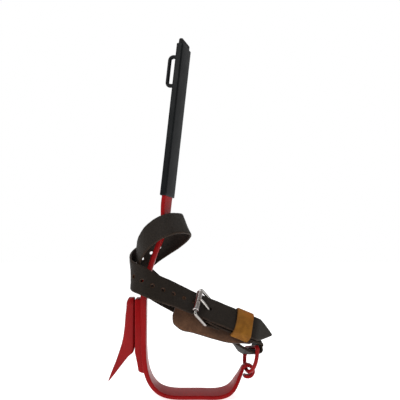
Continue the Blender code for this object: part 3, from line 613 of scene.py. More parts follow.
def forging():
    knots = []
    for s in (SHANK_IN_SLEEVE, 100.0, 60.0, 25.0, 0.0, -11.0):
        x, _, z = SLEEVE_FOOT + s * AXIS
        knots.append((x, 0.0, z, SHANK_W, SHANK_T))
    for x, z in reversed(SHANK_BEND):
        k = (z - SHANK_BEND[0][1]) / (SHANK_BEND[-1][1] - SHANK_BEND[0][1])
        knots.append((x, 0.0, z, 26.0 + (SHANK_W - 26.0) * k, 6.6 + (SHANK_T - 6.6) * k))
    knots += [(x, 0.0, z, w, t) for x, z, w, t in STIRRUP]
    turn0 = math.radians(153.0)
    knots.append((EYE_X + EYE_R * math.cos(turn0), 0.0, EYE_Z + EYE_R * math.sin(turn0), EYE_W + 0.8, EYE_T))
    rows = list(spline(knots, 1.6))
    turns = 56
    for k in range(1, turns + 1):
        a = turn0 - math.radians(EYE_TURN) * k / turns
        rows.append((EYE_X + EYE_R * math.cos(a), 0.0, EYE_Z + EYE_R * math.sin(a), EYE_W, EYE_T))
    rows = np.array(rows)
    rows[:, 1] = 0.0
    rings = []
    last = len(rows) - 1
    for i, ((x, y, z, w, t), d) in enumerate(zip(rows, tangents(rows[:, :3]))):
        turn = min(max((z - TWIST_FROM) / (TWIST_TO - TWIST_FROM), 0.0), 1.0)
        turn = TWIST * turn * turn * (3 - 2 * turn) if x < 0 else 0.0
        flat = np.cross(d, ACROSS)
        if x < -30.0 and flat[0] < 0:
            flat = -flat
        across = math.cos(turn) * ACROSS + math.sin(turn) * flat
        inset = 0.7 * (1.0 if i in (0, last) else 0.35 if i in (1, last - 1) else 0.0)
        rings.append(placed(rounded(w - inset, t - inset, 1.5, 5), (x, y, z), across, np.cross(d, across)))
    made = piece("forged_leg_iron", loft(rings), RED, "leg_iron", ["leg_iron"])
    holes = []
    for k in range(HOLE_COUNT):
        holes.append(peg(SLEEVE_FOOT + (SCREW_AT[0] + k * HOLE_PITCH) * AXIS, THIN, HOLE_R, 12.0))
    cut(made, holes)


def gaff_seat():
    """The pad forged on the shank's outer face, which the gaff is bolted against."""
    outline = [
        (-60.4, SEAT_TOP), (-70.3, SEAT_TOP), (-71.5, SEAT_TOP - 1.6), (-71.5, 50.0), (-70.7, 46.0),
        (-68.6, 36.0), (-67.3, 27.8), (-65.4, 25.9), (-61.2, 24.9), (-58.0, 23.6), (-58.2, 28.0),
        (-60.2, 40.0), (-60.6, 60.0),
    ]
    stack = []
    for k in range(9):
        a = math.pi * k / 8
        y = -math.cos(a) * 1.4 + (SEAT_HALF_W - 1.4) * (-1 if k < 4 else 1 if k > 4 else 0)
        inset = 1.4 * (1 - math.sin(a)) if k != 4 else 0.0
        ring = []
        for x, z in outline:
            lift = inset * 0.8 if z < 40 else -inset * 0.7 if z > SEAT_TOP - 2 else 0.0
            ring.append((x + inset * (0.8 if x < -63 else 0.0), y, z + lift))
        stack.append(ring)
    made = piece("gaff_seat", loft(stack), RED, "leg_iron")
    bevel = made.modifiers.new("soft_edges", "BEVEL")
    bevel.width, bevel.segments, bevel.limit_method, bevel.angle_limit = 0.0007, 3, "ANGLE", math.radians(25)
    bake(made)
    cut(made, [peg((-66.6, 0.0, z), (1, 0, 0), 3.3, 13.0) for z in GAFF_SCREW_Z])


def gaff_blade():
    """The gaff: flat against its seat, round in front, drawn out to its point."""
    rows = []
    for (ox, oz, ix, iz, h), (px, pz, jx, jz, g) in zip(GAFF, GAFF[1:]):
        parts = max(2, int(math.hypot(px - ox, pz - oz) / 1.6))
        for k in range(parts):
            f = k / parts
            rows.append([p + (q - p) * f for p, q in zip((ox, oz, ix, iz, h), (px, pz, jx, jz, g))])
    rows.append(list(GAFF[-1]))
    rows = np.array(rows)
    for _ in range(2):
        rows[1:-1] = (rows[:-2] + 2 * rows[1:-1] + rows[2:]) / 4
    rings = []
    for i, (ox, oz, ix, iz, h) in enumerate(rows):
        pull = 1.0 - 0.5 * max(0.0, 1.0 - i / 3.0)
        ring = []
        for k in range(40):
            a = 2 * math.pi * k / 40
            c, s = math.cos(a), math.sin(a)
            power = 0.30 if c < 0 else 0.62
            out = 0.5 + 0.5 * math.copysign(abs(c) ** power, c)
            wide = math.copysign(abs(s) ** 0.55, s)
            edge = 0.5 + (out - 0.5) * (0.82 + 0.18 * pull)
            ring.append((ix + (ox - ix) * edge, h * wide * (0.9 + 0.1 * pull), iz + (oz - iz) * edge))
        rings.append(ring)
    made = piece("gaff_blade", loft(rings), GAFF_RED, "leg_iron", ["gaff"], 50.0)
    holes = []
    for z in GAFF_SCREW_Z:
        holes.append(peg((-78.0, 0.0, z), (1, 0, 0), 3.3, 30.0))
        holes.append(peg((-86.8, 0.0, z), (1, 0, 0), 5.2, 20.0, 36))
    cut(made, holes, sharp=50.0)


def screw(name, node, at, along, shank_r, shank_len, head_r, head_len, socket_r, body, look):
    """A button-head socket screw: `at` is under the head, `along` points from the head to the tip."""
    profile = [(shank_len, shank_r - 0.6), (shank_len - 0.6, shank_r)]
    turns = max(2, int((shank_len - 1.2) / 0.8))
    for k in range(turns * 2):
        d = shank_len - 0.9 - (shank_len - 1.2) * (k + 1) / (turns * 2)
        profile.append((d, shank_r - (0.28 if k % 2 == 0 else 0.0)))
    profile += [(0.0, shank_r), (0.0, head_r - 0.2), (-0.25, head_r)]
    for k in range(9):
        a = math.radians(90.0 * k / 8)
        profile.append((-0.4 * head_len - 0.6 * head_len * math.sin(a), 0.60 * head_r + 0.40 * head_r * math.cos(a)))
    made = piece(name, turned(profile, at, along, 32, ACROSS), look, body, [node], FINE_SHARP)
    socket = [(-head_len - 1, socket_r), (-head_len * 0.4, socket_r)]
    cut(made, [turned(socket, at, along, 6, ACROSS)], sharp=FINE_SHARP)


# ---------------------------------------------------------------- sleeve and its loop


def sleeve():
    outer, inner = [], []
    stops = [(0.0, 0.7), (0.12, 0.35), (0.45, 0.1), (0.9, 0.0)]
    stops += [(SLEEVE_LEN * k / 30, 0.0) for k in range(1, 30)]
    stops += [(SLEEVE_LEN - 0.9, 0.0), (SLEEVE_LEN - 0.45, 0.1), (SLEEVE_LEN - 0.12, 0.35), (SLEEVE_LEN, 0.7)]
    for s, shrink in stops:
        at = SLEEVE_FOOT + s * AXIS
        outer.append(placed(rounded(SLEEVE_W - shrink, SLEEVE_T - shrink, 1.9, 6), at, BROAD, THIN))
        inner.append(placed(rounded(SLEEVE_W - 2 * SLEEVE_WALL, SLEEVE_T - 2 * SLEEVE_WALL, 0.9, 6), at, BROAD, THIN))
    made = piece("shank_sleeve_tube", tube(outer, inner), BLACK, "shank_sleeve", ["shank_sleeve"])
    cut(made, [peg(SLEEVE_FOOT + s * AXIS - THIN * SLEEVE_T / 2, THIN, 3.2, 4.0) for s in SCREW_AT])
    gap = 0.3
    wide, thin = SLEEVE_W - 2 * SLEEVE_WALL - 2 * gap, SLEEVE_T - 2 * SLEEVE_WALL - 2 * gap
    rings = []
    stops = [(-CAP_DEPTH, 0.8), (-CAP_DEPTH + 0.6, 0.1), (-CAP_DEPTH + 2.0, 0.0), (CAP_RISE - 3.0, 0.0)]
    for k in range(7):
        a = math.radians(90.0 * k / 6)
        stops.append((CAP_RISE - 1.9 + 1.9 * math.sin(a), 2.0 * (1 - math.cos(a))))
    for s, shrink in stops:
        at = SLEEVE_FOOT + (SLEEVE_LEN + s) * AXIS
        rings.append(placed(rounded(wide - shrink, max(thin - shrink, 0.8), 1.6, 6), at, BROAD, THIN))
    piece("sleeve_end_cap", loft(rings), CAP_BLACK, "shank_sleeve", ["sleeve_cap"])


def loop():
    """The calf strap's loop, a bent rod welded to the sleeve, with its two weld beads."""
    face, reach = SLEEVE_T / 2 + 0.3, SLEEVE_T / 2 + LOOP_OUT
    path = [(face, LOOP_TOP), (face + 4.0, LOOP_TOP)]
    for middle, start in ((LOOP_TOP - LOOP_BEND, 90.0), (LOOP_FOOT + LOOP_BEND, 0.0)):
        for k in range(11):
            a = math.radians(start - 9.0 * k)
            path.append((reach - LOOP_BEND + LOOP_BEND * math.cos(a), middle + LOOP_BEND * math.sin(a)))
    path += [(face + 4.0, LOOP_FOOT), (face, LOOP_FOOT)]
    line = spread([SLEEVE_FOOT + s * AXIS - out * THIN for out, s in path], 1.5)
    piece("calf_strap_loop", rod(line, LOOP_R, BROAD), LOOP_BLACK, "shank_sleeve",
          ["strap_loop"])
    for name, s in (("loop_weld_upper", LOOP_TOP), ("loop_weld_lower", LOOP_FOOT)):
        at = SLEEVE_FOOT + s * AXIS - (SLEEVE_T / 2 - 0.4) * THIN
        rings = []
        for k in range(9):
            a = math.radians(90.0 * k / 8)
            pairs = []
            for i in range(36):
                b = 2 * math.pi * i / 36
                r = (LOOP_R + 0.4 + 1.5 * (1 - math.sin(a))) * (1 + 0.05 * math.sin(5 * b + s))
                pairs.append((r * math.cos(b), r * math.sin(b)))
            rings.append(placed(pairs, at - THIN * (2.3 * (1 - math.cos(a))), BROAD, AXIS))
        piece(name, loft(rings), LOOP_BLACK, "shank_sleeve")


# ---------------------------------------------------------------- ring


def ring_frame():
    """The ring's bar direction, its upright direction, the middle of its bow and the middle of its bar."""
    bar = unit(RING_BAR)
    up = np.array(RING_UP)
    up = unit(up - np.dot(up, bar) * bar)
    lean = math.sin(RING_ROLL) * bar + math.cos(RING_ROLL) * up
    hub = EYE + np.array([0.0, RING_SHIFT, 0.0]) + RING_R * lean
    return bar, up, hub, hub + RING_RISE * up


def ring():
    """A D-ring: a half-round bow through the eye and a straight bar on top for the strap."""
    bar, up, hub, _ = ring_frame()
    path = []
    for k in range(45):
        a = math.radians(180.0 + 180.0 * k / 44)
        path.append(hub + RING_R * (math.cos(a) * bar + math.sin(a) * up))
    side, rise = RING_R - RING_BEND, RING_RISE - RING_BEND
    spots = [(hub + bar * side + up * rise, bar, up, 0.0), (hub - bar * side + up * rise, bar, up, 90.0)]
    path = spread(path + stroke(spots, RING_BEND), 1.5, True)
    piece("stirrup_ring_rod", rod(path, RING_ROD, np.cross(bar, up), True), RING_RED,
          "stirrup_ring", ["stirrup_ring"])
    bead = []
    for k in range(13):
        a = math.pi * k / 12
        r = RING_ROD + 0.4 * math.sin(a) ** 0.8
        at = hub - bar * RING_R + up * (2.8 - 2.4 * math.cos(a))
        bead.append(placed(circle(r, 24), at, bar, np.cross(bar, up)))
    piece("ring_weld", loft(bead), RING_RED, "stirrup_ring")


# ---------------------------------------------------------------- the strap

COIL = [
    ((57.0, 0.0, 50.2), (-0.22, 0.95, -0.22)),
    ((49.5, 3.8, 55.0), (-0.14, 0.98, -0.12)),
    ((41.5, 7.4, 62.6), (0.02, 0.93, 0.34)),
    ((30.0, 11.2, 74.4), (0.22, 0.66, 0.72)),
    ((0.0, 15.6, 95.0), (0.40, 0.50, 0.77)),
    ((-30.0, 20.2, 111.6), (0.44, 0.44, 0.78)),
    ((-50.5, 23.2, 124.2), (0.46, 0.30, 0.83)),
    ((-61.6, 18.0, 135.6), (0.30, 0.27, 0.92)),
    ((-68.2, 6.4, 149.0), (0.05, 0.54, 0.84)),
    ((-67.4, -4.4, 164.8), (-0.11, 0.66, 0.74)),
    ((-59.6, -18.4, 180.8), (-0.25, 0.70, 0.67)),
    ((-41.9, -25.6, 195.4), (-0.37, 0.62, 0.69)),
    ((-27.6, -23.6, 200.6), (-0.37, 0.56, 0.74)),
    ((-16.8, -14.0, 201.4), (-0.36, 0.56, 0.75)),
    ((-11.0, 0.0, 199.0), (-0.30, 0.56, 0.77)),
    ((-14.0, 11.0, 193.6), (-0.34, 0.56, 0.76)),
    ((-22.6, 19.6, 185.8), (-0.37, 0.58, 0.73)),
    ((-41.4, 29.0, 173.8), (-0.36, 0.50, 0.79)),
    ((-61.0, 31.4, 161.8), (-0.22, 0.22, 0.95)),
    ((-73.4, 17.0, 152.4), (-0.10, 0.06, 0.99)),
    ((-75.9, -2.2, 145.0), (-0.05, -0.06, 0.99)),
    ((-71.0, -16.8, 139.2), (0.03, 0.12, 0.99)),
    ((-61.0, -25.0, 134.2), (0.17, 0.42, 0.89)),
    ((-48.8, -27.6, 128.6), (0.24, 0.48, 0.84)),
]
RING_SIDE = [
    ((71.0, -5.0, 71.2), (0.03, 0.86, 0.50)),
    ((75.4, 0.6, 64.4), (-0.13, 0.97, 0.10)),
]
FOLD_R = 6.8
STRAP_SPLIT = (38.3, 8.6, 66.0)  # where the part that follows the ring meets the part that doesn't


def on_run(s, under=0.0, across=0.0):
    return RUN_AT + s * RUN_T - under * RUN_N + across * RUN_W


def hinted(at, w):
    return (*at, *w)


def strap_path(step):
    """The whole strap from its folded end, round the buckle, the ring and the shank, to its tip's shoulders."""
    wrap = FRAME_ROD + 0.55 + STRAP_T / 2
    knots = [hinted(on_run(HEEL_S + CHAPE_BACK_END + 14.0, CHAPE_BACK_UNDER), RUN_W)]
    knots.append(hinted(on_run(HEEL_S + 9.0, CHAPE_BACK_UNDER + 0.2), RUN_W))
    for a in np.linspace(-70.0, -290.0, 9):
        r = math.radians(a)
        knots.append(hinted(HEEL + wrap * (math.cos(r) * RUN_T + math.sin(r) * RUN_N), RUN_W))
    for s in (9.0, 16.0, 28.0, 40.0, 50.5):
        knots.append(hinted(on_run(HEEL_S + s, CHAPE_UNDER - (0.3 if s < 10 else 0.0)), RUN_W))
    knots += [hinted(at, w) for at, w in RING_SIDE]
    bar, up, _, mid = ring_frame()
    out = unit(np.cross(bar, RUN_T))
    right = unit(np.cross(out, bar))
    for a in np.linspace(20.0, -92.0, 6):
        r = math.radians(a)
        at = mid + FOLD_R * (math.cos(r) * right + math.sin(r) * out)
        knots.append(hinted(at, 0.005 * max(a + 48.0, 0.0) * up - bar))
    knots += [hinted(at, w) for at, w in COIL]
    knots.append(hinted(on_run(-66.0) + (0.0, 0.0, 0.6), (0.23, 0.62, 0.75)))
    for s in (-46.0, -20.0, 10.0, 30.0, TIP_SHOULDER):
        knots.append(hinted(on_run(s), RUN_W))
    rows = spline(knots, step)
    return rows, tangents(rows[:, :3])


def strap_section(scale=1.0):
    """Strap section as (across, through), grain side up, with a crease line along each edge."""
    half, thick = STRAP_W / 2 * scale, STRAP_T / 2
    crease = 2.6
    top = []
    for f in np.linspace(-1.0, 1.0, 33):
        u = f * (half - 1.0)
        v = thick - 0.22 * abs(f) ** 5
        near = half - crease - abs(u)
        v -= 0.20 * math.exp(-((near / 0.45) ** 2)) if half > 6 else 0.0
        top.append((u, v))
    right = [(half - 1.0 + math.cos(a), (thick - 0.22) * math.sin(a)) for a in np.linspace(1.15, -1.15, 6)]
    bottom = [(f * (half - 1.0), -thick + 0.12 * abs(f) ** 4) for f in np.linspace(1.0, -1.0, 17)]
    left = [(-u, -v) for u, v in right]
    return top + right + bottom + left


def strap():
    rows, along = strap_path(1.5)
    rows, along = list(rows), list(along)
    scale = [1.0] * len(rows)
    steps = 22
    for k in range(1, steps + 1):
        f = k / steps
        rows.append(np.array(hinted(on_run(TIP_SHOULDER + f * (TIP_END - TIP_SHOULDER)), RUN_W)))
        along.append(RUN_T)
        scale.append(max(0.07, 1.0 - 0.93 * (0.12 * f + 0.88 * f**1.15)))
    rows, along = np.array(rows), np.array(along)
    walk = walked(rows)
    total = walk[-1]
    slot_at = total - (TIP_END - HEEL_S) - 3.0
    holes = [slot_at - SLOT_HALF - k * STRAP_HOLE_PITCH for k in range(1, STRAP_HOLE_COUNT + 1)]
    wide = np.array([unit(r[3:6] - np.dot(r[3:6], d) * d) for r, d in zip(rows, along)])
    face = np.cross(wide, along)
    rings = []
    for i in range(len(rows)):
        ring = []
        for u, v in strap_section(scale[i]):
            gap = min(math.hypot(walk[i] - h, u) for h in holes)
            dent = 0.35 * math.exp(-(((gap - STRAP_HOLE_R) / 1.6) ** 2)) if gap > 0 else 0.0
            ripple = 0.10 * math.sin(walk[i] * 0.31 + u * 0.12) + 0.07 * math.sin(walk[i] * 0.83 - u * 0.35)
            ring.append(rows[i, :3] + u * wide[i] + (v * (1 - dent * 0.5) + ripple) * face[i])
        rings.append(ring)
    split = int(np.argmin(np.linalg.norm(rows[:, :3] - np.array(STRAP_SPLIT), axis=1)))
    block = []
    for n in (-4.0, 4.0):
        left, right = on_run(SLOT_LEFT - SLOT_LEAN[0] * n, -n), on_run(SLOT_RIGHT - SLOT_LEAN[1] * n, -n)
        block.append([left - 2.1 * RUN_W, right - 2.1 * RUN_W, right + 2.1 * RUN_W, left + 2.1 * RUN_W])
    cutters = [loft(block)]
    for h in holes:
        i = int(np.argmin(np.abs(walk - h)))
        at = rows[i, :3] + (h - walk[i]) * along[i]
        cutters.append(flared(at + (STRAP_T / 2 - 0.1) * face[i], face[i], STRAP_HOLE_R, 0.35, 0.7, 5.0))
    long = loft(rings[split:])
    long = piece("harness_strap", long, LEATHER, "leg_iron", ["foot_strap"], SOFT_SHARP)
    cut(long, cutters, sharp=SOFT_SHARP)
    strap_marks(long, rows[:, :3], wide, face, walk, holes, scale)

    short = piece("harness_strap_fold", loft(rings[:split + 1]), LEATHER, None, sharp=SOFT_SHARP)
    back = []
    for k in (-1, 1):
        back.append(placed(rounded(18.0, 5.2, 2.4, 5), HEEL - 1.0 * RUN_T + 9.0 * k * RUN_N, RUN_T, RUN_W))
    cutters = [loft(back)] + [peg(on_run(HEEL_S + RIVET_S, 7.0, v), RUN_N, 1.7, 16.0) for v in RIVET_ACROSS]
    cut(short, cutters, sharp=SOFT_SHARP)
    strap_marks(short, rows[:, :3], wide, face, walk, holes, scale)
    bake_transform(short)
    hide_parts("buckle_strap", "strap_bight")


def strap_marks(made, line, wide, face, walk, holes, scale):
    """Give each point its place on the strap, and how near it is to a hole, an edge, a bend or the tip."""
    points = np.array([v.co for v in made.data.vertices]) / MM
    found = []
    for lo in range(0, len(points), 2000):
        part = points[lo:lo + 2000]
        off = part[:, None, :] - line[None, :, :]
        u = np.einsum("ijk,jk->ij", off, wide)
        v = np.einsum("ijk,jk->ij", off, face)
        s = np.einsum("ijk,jk->ij", off, np.cross(face, wide))
        miss = np.maximum(np.abs(u) - STRAP_W / 2, 0) + np.maximum(np.abs(v) - STRAP_T, 0) * 3 + np.abs(s)
        best = np.argmin(miss, axis=1)
        pick = np.arange(len(part))
        found.append(np.stack([walk[best] + s[pick, best], u[pick, best], v[pick, best], best], 1))
    place = np.concatenate(found)
    s, u, v = place[:, 0], place[:, 1], place[:, 2]
    near = np.min(np.hypot(s[:, None] - np.array(holes)[None, :], u[:, None]), axis=1)
    turn = np.linalg.norm(np.gradient(np.cross(face, wide), axis=0), axis=1) / 1.5
    turn = np.convolve(turn, np.ones(9) / 9, mode="same")[place[:, 3].astype(int)]
    total = walk[-1]
    half = np.array(scale)[place[:, 3].astype(int)] * STRAP_W / 2
    edge = np.clip(1.0 - (half - np.abs(u)) / 1.3, 0, 1)
    tip = np.clip((s - (total - 22.0)) / 6.0, 0, 1)
    values = {
        "flesh": np.clip((-v - 1.15) / 0.3, 0, 1),
        "rim": np.clip(1.0 - (near - STRAP_HOLE_R) / 1.7, 0, 1) * (near < 6) * (s < total - 80),
        "cut_edge": np.maximum(edge, np.clip((s - (total - 1.5)) / 1.5, 0, 1)),
        "crease": np.clip(turn * 9.0, 0.15, 1.0),
        "dust": tip * 0.75,
    }
    note(made, values, np.stack([s, u, v], 1) * MM)


def note(made, values, at=None):
    """Store named numbers on a piece's points for its material to read."""
    for name, numbers in values.items():
        layer = made.data.attributes.new(name, "FLOAT", "POINT")
        layer.data.foreach_set("value", np.asarray(numbers, np.float32))
    if at is not None:
        layer = made.data.attributes.new("strap_at", "FLOAT_VECTOR", "POINT")
        layer.data.foreach_set("vector", np.asarray(at, np.float32).ravel())


# ---------------------------------------------------------------- buckle


def buckle():
    arm = -math.cos(FRAME_TILT) * RUN_T + math.sin(FRAME_TILT) * RUN_N
    normal = np.cross(RUN_W, arm)
    r, side = FRAME_BEND, FRAME_HALF - FRAME_BEND
    spots = [
        (HEEL + RUN_W * side + arm * r, RUN_W, arm, 270.0),
        (HEEL + RUN_W * side + arm * (FRAME_L - r), RUN_W, arm, 0.0),
        (HEEL - RUN_W * side + arm * (FRAME_L - r), RUN_W, arm, 90.0),
        (HEEL - RUN_W * side + arm * r, RUN_W, arm, 180.0),
    ]
    wire = rod(spread(stroke(spots, r), 1.2, True), FRAME_ROD, normal, True)
    piece("buckle_wire_frame", wire, NICKEL, "buckle_frame", ["buckle_frame"])
    at = HEEL + FRAME_L * arm
    outer, inner = [], []
    stops = [(-1.0, 0.55), (-0.985, 0.25), (-0.955, 0.06), (-0.92, 0.0)]
    stops += [(f, 0.0) for f in np.linspace(-0.85, 0.85, 18)] + [(-f, d) for f, d in reversed(stops)]
    for f, shrink in stops:
        skin = []
        for k in range(64):
            a = 2 * math.pi * k / 64
            seam = 0.28 * math.exp(-(((k - 40) / 0.9) ** 2))
            q = ROLLER_R - shrink - seam
            skin.append((q * math.cos(a), q * math.sin(a)))
        outer.append(placed(skin, at + f * ROLLER_HALF * RUN_W, arm, normal))
        inner.append(placed(circle(ROLLER_BORE, 64), at + f * ROLLER_HALF * RUN_W, arm, normal))
    piece("buckle_roller_tube", tube(outer, inner), ROLLER, "buckle_roller", ["buckle_roller"])
    over = ROLLER_R + TONGUE_T / 2 + 0.25
    lead = math.asin((over - TONGUE_EYE) / FRAME_L)
    beta = math.pi - FRAME_TILT - lead
    d = math.cos(beta) * RUN_T + math.sin(beta) * RUN_N
    n = math.sin(beta) * RUN_T - math.cos(beta) * RUN_N
    line = []
    for k in range(40):
        a = math.radians(-285.0 + 285.0 * k / 39)
        line.append(HEEL + TONGUE_EYE * (math.cos(a) * n + math.sin(a) * d))
    for q in np.linspace(1.2, FRAME_L + 2.2, 26):
        line.append(HEEL + TONGUE_EYE * n + q * d)
    rings = []
    for i, (at, t) in enumerate(zip(line, tangents(line))):
        k = min(1.0, 0.50 + 0.50 * math.sqrt((len(line) - 1 - i) / 5))
        rings.append(placed(rounded(TONGUE_W * k, TONGUE_T * k, 1.15 * k, 6), at, RUN_W, np.cross(RUN_W, t)))
    piece("buckle_tongue_bar", loft(rings), TONGUE, "buckle_tongue", ["buckle_tongue"])


def rivets():
    """Tubular rivets through the folded end, drawn as a domed head in front and a solid shank behind; the washer and
    the peened end are not drawn.
    """
    front, back = CHAPE_UNDER - STRAP_T / 2, CHAPE_BACK_UNDER + STRAP_T / 2
    for name, v in zip(("chape_rivet_lower", "chape_rivet_upper"), RIVET_ACROSS):
        at = on_run(HEEL_S + RIVET_S, front - 0.8, v)
        profile = [(back - front + 1.4, 0.9), (back - front + 1.1, 1.3), (0.0, 1.3), (0.0, 3.4), (-0.15, 3.6)]
        profile += [(-0.3 - 0.8 * math.sin(a), 3.6 * math.cos(a) ** 0.8 + 0.05) for a in np.linspace(0.2, 1.4, 7)]
        rings = [placed(circle(r, 28), at - d * RUN_N, RUN_T, RUN_W) for d, r in profile]
        piece(name + "_head", loft(rings), BRASS, "leg_iron", [name], FINE_SHARP)


# ---------------------------------------------------------------- keeper and pad


def keeper():
    """A wide leather loop, crowned over the strap, drawn as one closed band without a butt joint at the back."""
    gap = 0.3
    half_w = STRAP_W / 2 + gap + 0.3
    front, back = STRAP_T / 2 + gap + 0.1, CHAPE_UNDER + STRAP_T / 2 + gap + 0.6
    mid, half_n = (front - back) / 2, (front + back) / 2
    turns = 120
    loop_in = []
    for k in range(turns):
        a = 2 * math.pi * k / turns
        c, s = math.cos(a), math.sin(a)
        u = math.copysign(abs(c) ** 0.34, c) * half_w
        v = math.copysign(abs(s) ** 0.34, s) * half_n
        loop_in.append((u, v))
    loop_in = np.array(loop_in)
    lead = np.roll(loop_in, -1, axis=0) - np.roll(loop_in, 1, axis=0)
    out = np.stack([lead[:, 1], -lead[:, 0]], 1)
    out /= np.linalg.norm(out, axis=1)[:, None]
    if np.sum(out * loop_in) < 0:
        out = -out
    for _ in range(3):
        out = (np.roll(out, 1, axis=0) + 2 * out + np.roll(out, -1, axis=0)) / 4
        out /= np.linalg.norm(out, axis=1)[:, None]
    crown = np.where(loop_in[:, 1] > 0, 1.5 * (1 - (loop_in[:, 0] / half_w) ** 2), 0.0)
    stops = list(np.linspace(-1.0, 1.0, 23))
    section = [(f, 1.0 if abs(f) < 0.93 else 1.0 - 0.5 * ((abs(f) - 0.93) / 0.07) ** 2) for f in stops]
    under = [(f, 0.0 if abs(f) < 0.93 else 0.3 * ((abs(f) - 0.93) / 0.07) ** 2) for f in reversed(stops)]
    rings = []
    for k in range(turns):
        (u, v), (p, q) = loop_in[k], out[k]
        bow = 1.3 * (u / half_w) ** 2 if v > 0 else 1.3
        ring = []
        for f, high in section + under:
            groove = 0.22 * math.exp(-(((abs(f) - 0.84) / 0.025) ** 2)) if high > 0.9 else 0.0
            t = KEEPER_T * high - groove
            lift = crown[k] * (1 - 0.35 * f * f)
            s = f * KEEPER_W / 2 * 0.98 + (bow - 0.6) * 0.9 * (-1 if f < 0 else 0.4) * abs(f)
            at = on_run(KEEPER_S + s) + mid * RUN_N + (u + p * t) * RUN_W + (v + q * t + lift) * RUN_N
            ring.append(at)
        rings.append(ring)
    band = loft(rings, True)
    made = piece("leather_keeper", band, TAN, "strap_keeper", ["strap_keeper"], SOFT_SHARP)
    points = np.array([v.co for v in made.data.vertices]) / MM - on_run(KEEPER_S)
    s, u, v = points @ RUN_T, points @ RUN_W, points @ RUN_N
    warm = np.clip((u + 2.0) / 16.0, 0, 1) ** 1.3 * np.clip(0.55 + s / 22.0, 0, 1)
    edge = np.clip((np.abs(s) - (KEEPER_W / 2 - 0.9)) / 0.8, 0, 1)
    note(made, {"warm": warm, "cut_edge": edge * 0.6}, np.stack([s, u, v], 1) * MM)


PAD_T = 3.6
PAD = [  # along the run, how far under it, width direction, upper and lower half widths
    (-55.6, 18.0, (0.10, 0.36, 0.93), 9.0, 11.5),
    (-53.4, 18.0, (0.10, 0.36, 0.93), 14.5, 17.5),
    (-48.5, 18.0, (0.10, 0.38, 0.92), 18.0, 22.2),
    (-41.0, 17.9, (0.11, 0.42, 0.90), 19.5, 24.8),
    (-32.0, 17.7, (0.12, 0.46, 0.88), 19.5, 24.2),
    (-18.0, 18.2, (0.14, 0.52, 0.84), 18.5, 22.6),
    (-4.0, 17.8, (0.15, 0.58, 0.80), 17.5, 22.0),
    (9.0, 16.8, (0.13, 0.62, 0.77), 16.5, 21.4),
    (21.0, 15.6, (0.11, 0.66, 0.74), 15.0, 20.2),
    (30.0, 16.0, (0.05, 0.73, 0.67), 13.0, 17.4),
    (36.0, 16.4, (0.00, 0.80, 0.58), 12.0, 16.0),
    (41.0, 18.0, (-0.02, 0.84, 0.52), 9.5, 12.8),
    (43.6, 19.6, (-0.03, 0.86, 0.50), 6.0, 8.0),
]


def pad():
    """The suede pad between the buckle and the ankle, one cut piece with a skived edge."""
    rows = spline([(*on_run(s, u), *w, a, b) for s, u, w, a, b in PAD], 1.5)
    along = tangents(rows[:, :3])
    reach = walked(rows)
    total = reach[-1]
    rings, edge = [], []
    for row, d, s in zip(rows, along, reach):
        w = unit(row[3:6] - np.dot(row[3:6], d) * d)
        n = np.cross(w, d)
        a, b = row[6], row[7]
        ring = []
        end = min(s, total - s)
        for side in (1, -1):
            for f in np.linspace(-1.0, 1.0, 41) * side:
                u = f * (a + b) / 2
                inner = min((a + b) / 2 - abs(u), end * 0.8 + 0.2)
                thick = PAD_T / 2 * (0.45 + 0.55 * min(1.0, inner / 2.2) ** 0.5)
                wave = 0.25 * math.sin(s * 0.16 + u * 0.09) + 0.12 * math.sin(s * 0.45 - u * 0.21)
                ring.append(row[:3] + (u + (a - b) / 2) * w + (side * thick + wave * 0.6) * n)
                edge.append(float(np.clip(1.0 - inner / 1.1, 0, 1)))
        rings.append(ring)
    made = piece("suede_pad", loft(rings), SUEDE, "leg_iron", ["ankle_pad"], SOFT_SHARP)
    tree = {tuple(np.round(np.asarray(p) * MM, 5)): e for p, e in zip([q for ring in rings for q in ring], edge)}
    marks = [tree.get(tuple(np.round(np.array(v.co), 5)), 0.5) for v in made.data.vertices]
    note(made, {"cut_edge": marks})


# ---------------------------------------------------------------- stage, light and camera


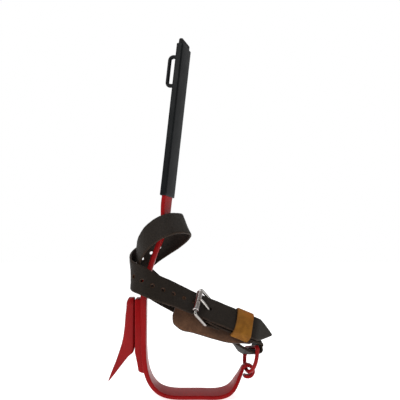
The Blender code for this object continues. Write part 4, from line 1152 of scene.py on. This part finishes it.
def stage():
    low = CAD_BOX[0][2]
    bpy.ops.mesh.primitive_plane_add(size=8.0, location=(0.0, 0.0, low - 0.0002))
    floor = bpy.context.object
    floor.name = "studio_floor"
    look = new_look("studio_floor_paint")
    tone = look.ramp(look.noise(3.0, 2.0), [(0.3, 0.86), (0.7, 0.88)])
    look.shader.inputs["Emission Color"].default_value = (1.0, 1.0, 1.0, 1.0)
    paint = look.finish(tone, None, Roughness=0.9, Specular_IOR_Level=0.1, Emission_Strength=0.8)
    floor.data.materials.append(paint)

    sky = Look(bpy.data.worlds.new("studio"), "Background")
    bpy.context.scene.world = sky.block
    split = sky.add("ShaderNodeSeparateXYZ")
    sky.feed(sky.add("ShaderNodeTexCoord").outputs["Generated"], split.inputs["Vector"])
    fade = sky.add("ShaderNodeMapRange", **{"From Min": -0.9, "From Max": 0.6, "To Min": 0.10, "To Max": 0.55})
    sky.feed(split.outputs["Y"], fade.inputs["Value"])
    pick = sky.add("ShaderNodeMix", data_type="FLOAT")
    sky.feed(sky.add("ShaderNodeLightPath").outputs["Is Camera Ray"], pick.inputs["Factor"])
    sky.feed(fade.outputs["Result"], pick.inputs[2])
    sky.feed(1.0, pick.inputs[3])
    sky.feed((1.0, 1.0, 1.0), sky.shader.inputs["Color"])
    sky.feed(pick.outputs["Result"], sky.shader.inputs["Strength"])


def softbox(name, at, target, size, power, colour=(1.0, 1.0, 1.0)):
    data = bpy.data.lights.new(name, "AREA")
    data.shape, data.size, data.size_y = "RECTANGLE", size[0], size[1]
    data.energy, data.color = power, colour
    lamp = bpy.data.objects.new(name, data)
    bpy.context.scene.collection.objects.link(lamp)
    lamp.location = at
    lamp.rotation_euler = (Vector(target) - Vector(at)).to_track_quat("-Z", "Y").to_euler()


def camera():
    """At the photograph's viewpoint: level with the coil, 0.59 m in front, looking straight along +Y."""
    data = bpy.data.cameras.new("camera")
    data.lens, data.sensor_width = CAMERA_LENS, 36.0
    data.shift_x, data.shift_y = CAMERA_SHIFT
    made = bpy.data.objects.new("camera", data)
    bpy.context.scene.collection.objects.link(made)
    made.location = CAMERA_AT
    made.rotation_euler = (math.radians(90.0), 0.0, 0.0)
    data.clip_start = 0.01
    bpy.context.scene.camera = made


forging()
gaff_seat()
gaff_blade()
for label, height in zip(("gaff_screw_upper", "gaff_screw_lower"), GAFF_SCREW_Z):
    screw(label + "_bolt", label, (-77.1, 0.0, height), (1, 0, 0), 2.9, 15.2, 4.8, 4.4, 2.2, "leg_iron",
          STEEL)
sleeve()
loop()
for label, s in zip(("sleeve_screw_lower", "sleeve_screw_upper"), SCREW_AT):
    screw(label + "_bolt", label, SLEEVE_FOOT + s * AXIS - (SLEEVE_T / 2 + 0.3) * THIN, THIN, 2.8,
          SLEEVE_WALL + 0.3, 5.2, 3.2, 1.9, "shank_sleeve", STEEL)
ring()
strap()
buckle()
rivets()
keeper()
pad()
stage()
softbox("key", (-0.75, -0.85, 0.95), (0.0, 0.0, 0.15), (0.7, 0.7), 6.5)
softbox("fill", (0.95, -0.75, 0.45), (0.0, 0.0, 0.12), (0.6, 0.9), 2.2)
softbox("top", (0.0, 0.25, 1.15), (0.0, 0.0, 0.1), (0.9, 0.6), 4.0)
camera()
bpy.context.scene.view_settings.view_transform = "Standard"
